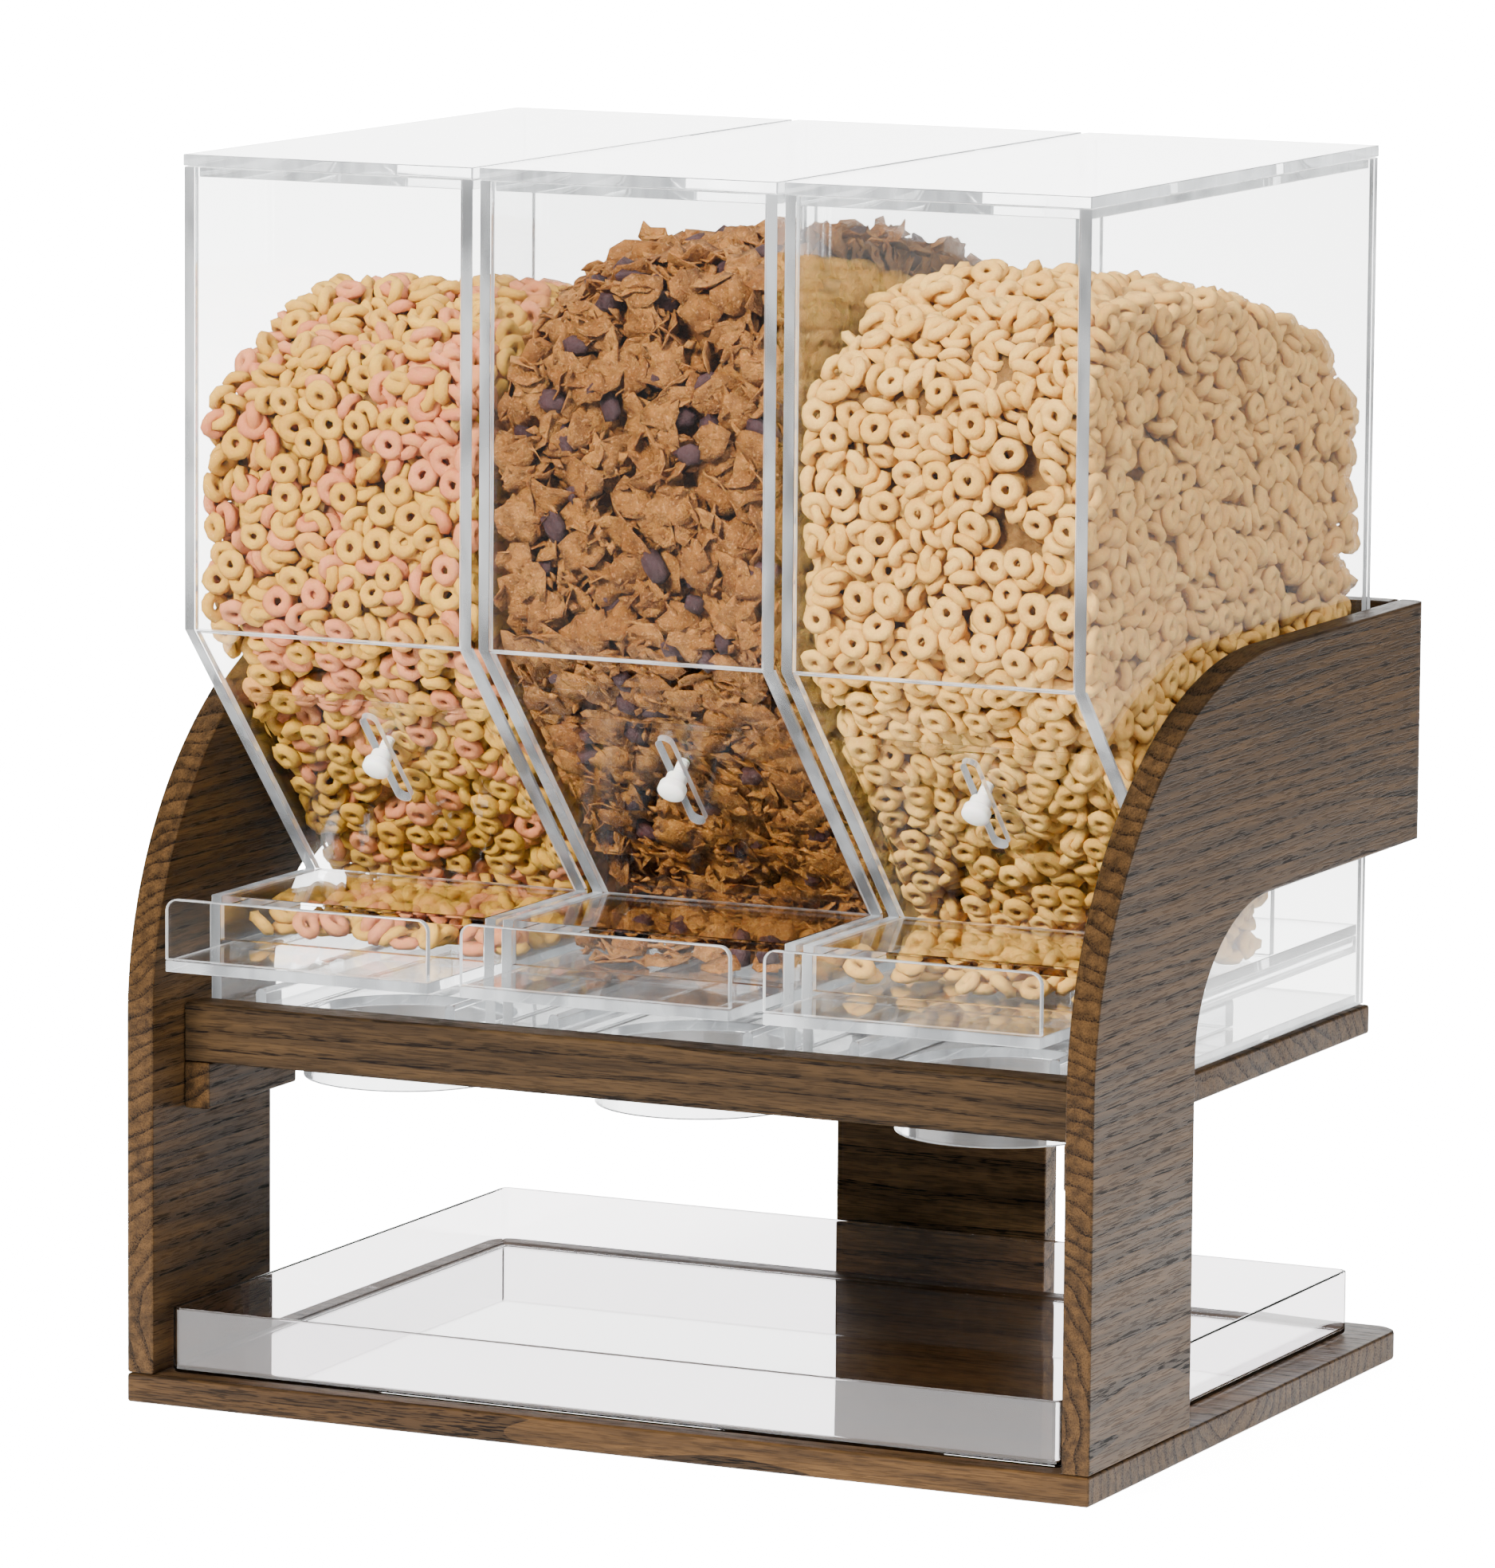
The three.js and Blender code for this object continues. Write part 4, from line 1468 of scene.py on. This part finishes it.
@dataclass
class Fill:
    """A bin's cereal: the heap in the hopper, what has run into the nose, and a core coloured
    darker than the cereal, as painted shade in the gaps between the items.
    """

    bin: Bin
    kinds: dict[Kind, float]
    finishes: dict[Kind, bpy.types.Material]
    core: bpy.types.Material
    crowd: float
    heights: Sequence[Sequence[float]]
    nose_front: float
    nose_layers: float
    seed: int
    clear: float = 0.35 * MM

    STATIONS_X = (-60.0, -28.0, 16.0, 60.0)
    STATIONS_Y = (26.0, 52.0, 100.0, 166.0, 223.0, 260.0, 311.0)

    def top(self, x: np.ndarray, y: np.ndarray) -> np.ndarray:
        """Heap height by straight-line mixing between the stations, with slow hummocks.

        Args:
            x: distances from the bin's middle.
            y: distances from the model's origin.

        Returns:
            Heights in metres.
        """
        xs, ys = np.array(self.STATIONS_X) * MM, np.array(self.STATIONS_Y) * MM + self.shift
        table = np.array(self.heights, float) * MM
        i = np.clip(np.searchsorted(ys, y) - 1, 0, len(ys) - 2)
        j = np.clip(np.searchsorted(xs, x) - 1, 0, len(xs) - 2)
        s = np.clip((y - ys[i]) / (ys[i + 1] - ys[i]), 0, 1)
        t = np.clip((x - xs[j]) / (xs[j + 1] - xs[j]), 0, 1)
        near = table[i, j] * (1 - t) + table[i, j + 1] * t
        far = table[i + 1, j] * (1 - t) + table[i + 1, j + 1] * t
        hummock = 2.2 * MM * (np.sin(210 * x + self.seed) * np.cos(170 * y + 2 * self.seed))
        return near * (1 - s) + far * s + hummock

    @property
    def shift(self) -> float:
        """What takes a distance from the stand's front edge to a Y of the frame."""
        return self.bin.front - 21.4 * MM

    def hopper_section(self) -> np.ndarray:
        """The hopper's section behind the slant's movable plate."""
        b, c = self.bin, self.clear
        front = b.front + b.thickness + c
        depth = b.thickness + 3.3 * MM + c
        upper = b.on_slant((front - b.front - FALL * depth) / RUN, depth)
        foot = b.on_slant(b.gate_ends[1] + 31 * MM, depth)
        plate = b.plate_top + c
        wall = b.divider - c
        rear = b.rear - b.thickness - c
        crest = b.box("hopper_floor")[1].z - b.box("hopper_floor")[1].y
        return np.array([
            (front, b.top - 8 * MM), (front, upper[1]), foot, (foot[0], plate), (wall, plate),
            (wall, wall + crest + 1.4 * c), (rear, rear + crest + 1.4 * c), (rear, b.top - 8 * MM),
        ])

    def nose_section(self) -> np.ndarray:
        """The nose's section ahead of the movable plate, over the slide."""
        b, c = self.bin, self.clear
        depth = b.thickness
        roof = b.roof - b.thickness - c
        reach = (b.knee - roof + RUN * depth) / FALL
        low = (b.knee - b.plate_top - 6 * MM + RUN * depth) / FALL
        start = self.shift + self.nose_front
        return np.array([
            (start, b.plate_top + c), (b.on_slant(low, depth)[0], b.plate_top + c),
            b.on_slant(low, depth), b.on_slant(reach, depth), (start, roof),
        ])

    def build(self) -> None:
        """Packs and makes the fill."""
        half = self.bin.inside + 0.3 * MM - self.clear
        hopper = Vessel(self.hopper_section(), self.bin.middle, half, self.top, self.behind_screw)
        heap = Heap(hopper, self.kinds, share=self.crowd, seed=self.seed)
        heap.pack()
        self.show("cereal", heap)
        nose = Vessel(self.nose_section(), self.bin.middle, half - 0.4 * MM, self.nose_top)
        loose = Heap(nose, self.kinds, 60 * MM, self.nose_layers, self.seed + 10, 60)
        loose.pack()
        self.show("loose", loose)
        self.make_core()

    def behind_screw(self, p: np.ndarray) -> np.ndarray:
        """Moves points out of the groove that the screw's tip travels in, behind the slot.

        Args:
            p: (n, 3) points, which are changed.

        Returns:
            The points.
        """
        b = self.bin
        rel = p[:, 1:] - np.array([b.front, b.knee])
        down, depth = rel @ b.along, rel @ b.inward
        beside = np.abs(p[:, 0] - b.middle) / MM
        least = np.interp(beside, [6.5, 15.0], [11.6, 7.0]) * MM
        within = (down > 40 * MM) & (down < 110 * MM)
        p[:, 1:] += (np.clip(least - depth, 0, None) * within)[:, None] * b.inward
        return p

    def nose_top(self, x: np.ndarray, y: np.ndarray) -> np.ndarray:
        """The pile in the nose, thinning toward the front."""
        run = (y - self.shift - self.nose_front) / (30 * MM)
        return self.bin.plate_top + (5.5 + 9 * np.clip(run + 0.2 * np.sin(90 * x), 0, 1)) * MM

    def show(self, name: str, heap: Heap) -> None:
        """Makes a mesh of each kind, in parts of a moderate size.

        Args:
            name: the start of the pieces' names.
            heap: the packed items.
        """
        body = self.bin.body("bin")
        for kind in self.kinds:
            members = heap.members(kind)
            parts = max(1, math.ceil(len(members) / 1400))
            for number, part in enumerate(np.array_split(members, parts)):
                if not len(part):
                    continue
                (points, faces), item = Grainery(self.seed).shape(heap, kind, part)
                shape = (heap.vessel.contain(points), faces)
                label = f"{self.bin.place.value}_{name}_{kind.name.lower()}_{number + 1}"
                Piece(label, body, self.finishes[kind], crisp=False).make(shape, item=item)

    def make_core(self) -> None:
        """The middle of the heap: a closed lumpy skin a little inside the shell. It shows only
        through the gaps between the items, and its darker colour is painted shade there.
        """
        section = self.hopper_section()
        (front, _), upper, foot, (_, plate), _, lip, (rear, back), _ = section
        off = 12.0 * MM
        ys = np.linspace(front + off, rear - off, 56)
        slant = np.interp(ys, [upper[0], foot[0]], [upper[1], foot[1]]) + off * 1.47
        floor = np.where(ys < foot[0] + off, slant, plate + off)
        ramp = np.interp(ys, [lip[0], rear], [lip[1], back]) + off * 1.41
        floor = np.where(ys > lip[0] - off * 1.2, ramp, floor)
        half = self.bin.inside - off
        xs = np.linspace(-half, half, 24)
        gx, gy = np.meshgrid(xs, ys)
        above = np.maximum(self.top(gx, gy) - off * 1.15, floor[:, None] + 1 * MM)
        lump = 1.3 * MM * np.sin(620 * gx + 1.3) * np.cos(540 * gy)
        over = np.stack([gx, gy, above + lump], 2)
        below = np.stack([gx[:, ::-1], gy, floor[:, None] + 0 * gx], 2)
        loop = np.concatenate([over, below], 1)
        loop[..., 0] += self.bin.middle
        count = loop.shape[1]
        last = (len(ys) - 1) * count
        faces = ring_faces(len(ys), count)
        quads = np.arange(len(xs) - 1)
        cap = np.stack([quads, quads + 1, count - 2 - quads, count - 1 - quads], 1)
        faces += cap[:, ::-1].tolist() + (cap + last).tolist()
        name = f"{self.bin.place.value}_cereal_core"
        Piece(name, self.bin.body("bin"), self.core, crisp=False).make(
            (loop.reshape(-1, 3), faces), item=np.full(count * len(ys), 0.5)
        )


# ---- the studio ---------------------------------------------------------------------------
@dataclass(frozen=True)
class Lamp:
    """A soft rectangular lamp aimed at a point."""

    name: str
    place: tuple[float, float, float]
    size: tuple[float, float]
    watts: float
    aim: tuple[float, float, float] = (0.0, 0.0, 0.25)
    colour: tuple[float, float, float] = (1.0, 0.98, 0.95)
    shine: bool = True
    spread: float = math.pi

    def build(self) -> None:
        """Makes the lamp."""
        data = bpy.data.lights.new(self.name, "AREA")
        data.shape, data.size, data.size_y = "RECTANGLE", *self.size
        data.spread = self.spread
        data.energy, data.color = self.watts, self.colour
        obj = bpy.data.objects.new(self.name, data)
        obj.location = self.place
        obj.visible_glossy = obj.visible_transmission = self.shine
        way = Vector(self.aim) - Vector(self.place)
        obj.rotation_euler = way.to_track_quat("-Z", "Y").to_euler()
        bpy.context.scene.collection.objects.link(obj)


@dataclass(frozen=True)
class Studio:
    """A plain pale floor that sweeps up behind, soft lamps and an even pale surround."""

    world: float = 0.25
    glow: float = 6.5
    # near: the floor's glow round the stand, lower than glow further back; painted shade round the
    # stand's foot
    near: float = 3.8
    burn: float = 4.0
    half: float = 6.0
    lane: float = math.radians(25.5)

    def build(self) -> None:
        """Makes the floor, the lamps and the surround."""
        self.floor()
        for lamp in (
            Lamp("lamp_key", (2.6, -1.4, 2.4), (1.6, 1.6), 98),
            Lamp("lamp_top", (-0.2, 0.2, 2.6), (2.2, 2.2), 40),
            Lamp("lamp_left", (-0.8, -3.0, 2.0), (1.2, 1.0), 26, shine=False,
                 spread=math.radians(38)),
        ):
            lamp.build()
        world = bpy.data.worlds.new("surround")
        world.use_nodes = True
        shade = world.node_tree.nodes["Background"]
        shade.inputs["Color"].default_value = (1.0, 0.995, 0.985, 1)
        shade.inputs["Strength"].default_value = self.world
        bpy.context.scene.world = world

    def floor(self) -> None:
        """One sheet: flat to the bend, a quarter circle, then upright; swept along X.

        It is there only for what stands in front of it: its back is clear.
        """
        bend, start, h = 1.0, 3.4, self.half
        t = np.linspace(0, math.pi / 2, 17)
        profile = np.concatenate([
            [(-h, 0.0)], np.stack([start + bend * np.sin(t), bend * (1 - np.cos(t))], 1),
            [(start + bend, 4.5)],
        ])
        xs = np.array([-h, 0.0, h])
        points = np.stack([np.broadcast_to(xs[:, None], (3, len(profile))),
                           np.broadcast_to(profile[:, 0], (3, len(profile))),
                           np.broadcast_to(profile[:, 1] - 0.2 * MM, (3, len(profile)))], 2)
        n = len(profile)
        i, j = np.meshgrid(np.arange(2), np.arange(n - 1), indexing="ij")
        base = (i * n + j).ravel()
        faces = np.stack([base, base + n, base + n + 1, base + 1], 1).tolist()
        mesh = bpy.data.meshes.new("sweep")
        mesh.from_pydata(points.reshape(-1, 3).tolist(), [], faces)
        mesh.polygons.foreach_set("use_smooth", np.ones(len(faces), bool))
        r = Recipe("sweep_paper")
        fibre = r.noise(r.place(), 300, 3)
        lane = r.add("SeparateXYZ", {0: r.place(turn=(0, 0, -self.lane))})
        beside = r.spread(r.math("ABSOLUTE", lane.outputs[0]), 0.75, 1.25, 1, 0)
        ahead = r.spread(lane.outputs[1], -0.62, -0.42, 0, 1)
        # The floor glows less round the stand than from half a metre behind it on. This is painted
        # shade round the stand, and it also dims the floor's light on the stand.
        rise = r.spread(lane.outputs[1], 0.5, 1.6, self.near, self.glow)
        lit = r.math("MULTIPLY", r.math("MULTIPLY", beside, ahead), rise)
        seen = r.math("MULTIPLY", lit, r.spread(
            r.add("LightPath").outputs["Is Camera Ray"], 0, 1, 1, self.burn))
        shader = r.add("BsdfPrincipled", {
            "Base Color": r.mix(beside, (0.42, 0.42, 0.415, 1), (0.80, 0.80, 0.79, 1)),
            "Roughness": r.spread(fibre, 0.3, 0.7, 0.5, 0.6),
            "Normal": r.bump(fibre, 0.05 * MM, 0.2),
            "Emission Color": (1.0, 0.998, 0.995, 1), "Emission Strength": seen,
        })
        through = r.add("BsdfTransparent")
        back = r.add("NewGeometry").outputs["Backfacing"]
        one_sided = r.add("MixShader", {0: back, 1: shader.outputs[0], 2: through.outputs[0]})
        mesh.materials.append(r.finish(one_sided))
        obj = bpy.data.objects.new("sweep", mesh)
        bpy.context.scene.collection.objects.link(obj)


@dataclass(frozen=True)
class View:
    """The camera: where it stands, how it is turned, and its lens."""

    place: tuple[float, float, float] = (1.647867, -3.481908, 0.811439)
    yaw: float = math.radians(25.535472)
    pitch: float = math.radians(-8.418167)
    roll: float = math.radians(0.460523)
    lens: float = 228.742
    shift: tuple[float, float] = (-0.00079, 0.0100)

    def build(self) -> None:
        """Makes the camera. D looks (-sin yaw cos pitch, cos yaw cos pitch, sin pitch)."""
        look = Vector((-math.sin(self.yaw) * math.cos(self.pitch),
                       math.cos(self.yaw) * math.cos(self.pitch), math.sin(self.pitch)))
        level = Vector((math.cos(self.yaw), math.sin(self.yaw), 0))
        upright = level.cross(look)
        c, s = math.cos(self.roll), math.sin(self.roll)
        right, up = c * level + s * upright, c * upright - s * level
        data = bpy.data.cameras.new("view")
        data.sensor_fit, data.sensor_width, data.lens = "HORIZONTAL", 36.0, self.lens
        data.shift_x, data.shift_y = self.shift
        data.clip_start, data.clip_end = 0.05, 50.0
        obj = bpy.data.objects.new("view", data)
        obj.matrix_world = Matrix.Translation(self.place) @ Matrix(
            (right, up, -look)
        ).transposed().to_4x4()
        bpy.context.scene.collection.objects.link(obj)
        bpy.context.scene.camera = obj


# ---- everything ---------------------------------------------------------------------------
def fills(bins: dict[Place, Bin]) -> list[Fill]:
    """The three bins' cereals, with their heap heights row by row from front to rear.

    Args:
        bins: the finished bins.

    Returns:
        What each bin holds.
    """
    # The core colour below and the two core finishes are painted shade: the heap's core, seen
    # through the gaps between the items, is coloured darker than the cereal.
    gap_shade = (0.23, 0.115, 0.032)
    fruit = ToastedGrain(
        "fruit_rings",
        ((0.0, (0.48, 0.25, 0.022)), (0.64, (0.58, 0.33, 0.042)), (0.68, (0.50, 0.145, 0.065)),
         (1.0, (0.57, 0.205, 0.098))), (0.42, 0.19, 0.04),
    ).build()
    oat = ToastedGrain(
        "oat_rings", ((0.0, (0.57, 0.31, 0.055)), (1.0, (0.68, 0.41, 0.105))), (0.46, 0.21, 0.05)
    ).build()
    bran = ToastedGrain(
        "bran_flakes", ((0.0, (0.22, 0.082, 0.015)), (1.0, (0.36, 0.155, 0.034))),
        (0.11, 0.036, 0.007), 900, 2.0 * MM, 0.9, 0.6,
    ).build()
    raisin = ToastedGrain(
        "raisins", ((0.0, (0.035, 0.017, 0.02)), (1.0, (0.06, 0.028, 0.03))),
        (0.02, 0.008, 0.008), 800, 0.8 * MM, 0.7,
    ).build()
    # painted shade: the ring core's darker crust shows in the gaps between the rings
    dark = ToastedGrain("core_rings", ((0.0, gap_shade), (1.0, gap_shade)), (0.08, 0.035, 0.01), 420,
                        2 * MM, 1.0).build()
    # painted shade: the bran core's darker crust shows in the gaps between the flakes
    deep = ToastedGrain("core_bran", ((0.0, (0.12, 0.044, 0.010)), (1.0, (0.12, 0.044, 0.010))),
                        (0.05, 0.016, 0.005), 420, 2 * MM, 1.0).build()
    rings, mixed = {Kind.RING: 1.0}, {Kind.FLAKE: 0.50, Kind.RAISIN: 0.06, Kind.CRUMB: 0.44}
    return [
        Fill(bins[Place.LEFT], rings, {Kind.RING: fruit}, dark, 1.36, (
            (409, 414, 420, 426), (424, 430, 434, 436), (448, 454, 456, 452), (446, 450, 450, 446),
            (438, 440, 440, 436), (426, 430, 430, 426), (408, 410, 410, 408),
        ), 57 * MM, 1.25, 11),
        Fill(bins[Place.MIDDLE], mixed, {Kind.FLAKE: bran, Kind.RAISIN: raisin, Kind.CRUMB: bran},
             deep, 2.7, (
            (419, 460, 470, 476), (440, 474, 480, 484), (466, 480, 486, 489), (462, 474, 480, 482),
            (448, 458, 464, 464), (436, 444, 448, 448), (416, 420, 424, 424),
        ), 72 * MM, 1.3, 23),
        Fill(bins[Place.RIGHT], rings, {Kind.RING: oat}, dark, 1.36, (
            (422, 424, 426, 428), (446, 456, 462, 466), (462, 472, 472, 464), (452, 464, 466, 459),
            (440, 452, 456, 450), (426, 438, 442, 439), (400, 410, 414, 412),
        ), 64 * MM, 0.8, 37),
    ]


def main() -> None:
    """Builds the studio, the stand, the tray, the bins and what they hold."""
    logging.basicConfig(level=logging.INFO, format="%(name)s %(message)s")
    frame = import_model()
    log.info("frame with %d nodes", len(frame["nodes"]))
    View().build()
    Studio().build()
    Stand().build()
    CrumbTray().build()
    sheet, nylon = ClearSheet("clear_sheet").build(), Nylon("white_nylon").build()
    thin = ClearSheet("clear_thin_sheet", bend=1.12, cut=0.8, faint=True).build()
    soft = ClearSheet("clear_slant_sheet", bend=1.22).build()
    tube = ClearSheet("clear_tube", (0.93, 0.94, 0.95), cut=0.10).build()
    bins = {place: Bin(place, sheet, nylon, thin, soft, tube) for place in Place}
    for each in bins.values():
        each.build()
    for fill in fills(bins):
        fill.build()


if __name__ == "__main__":
    main()
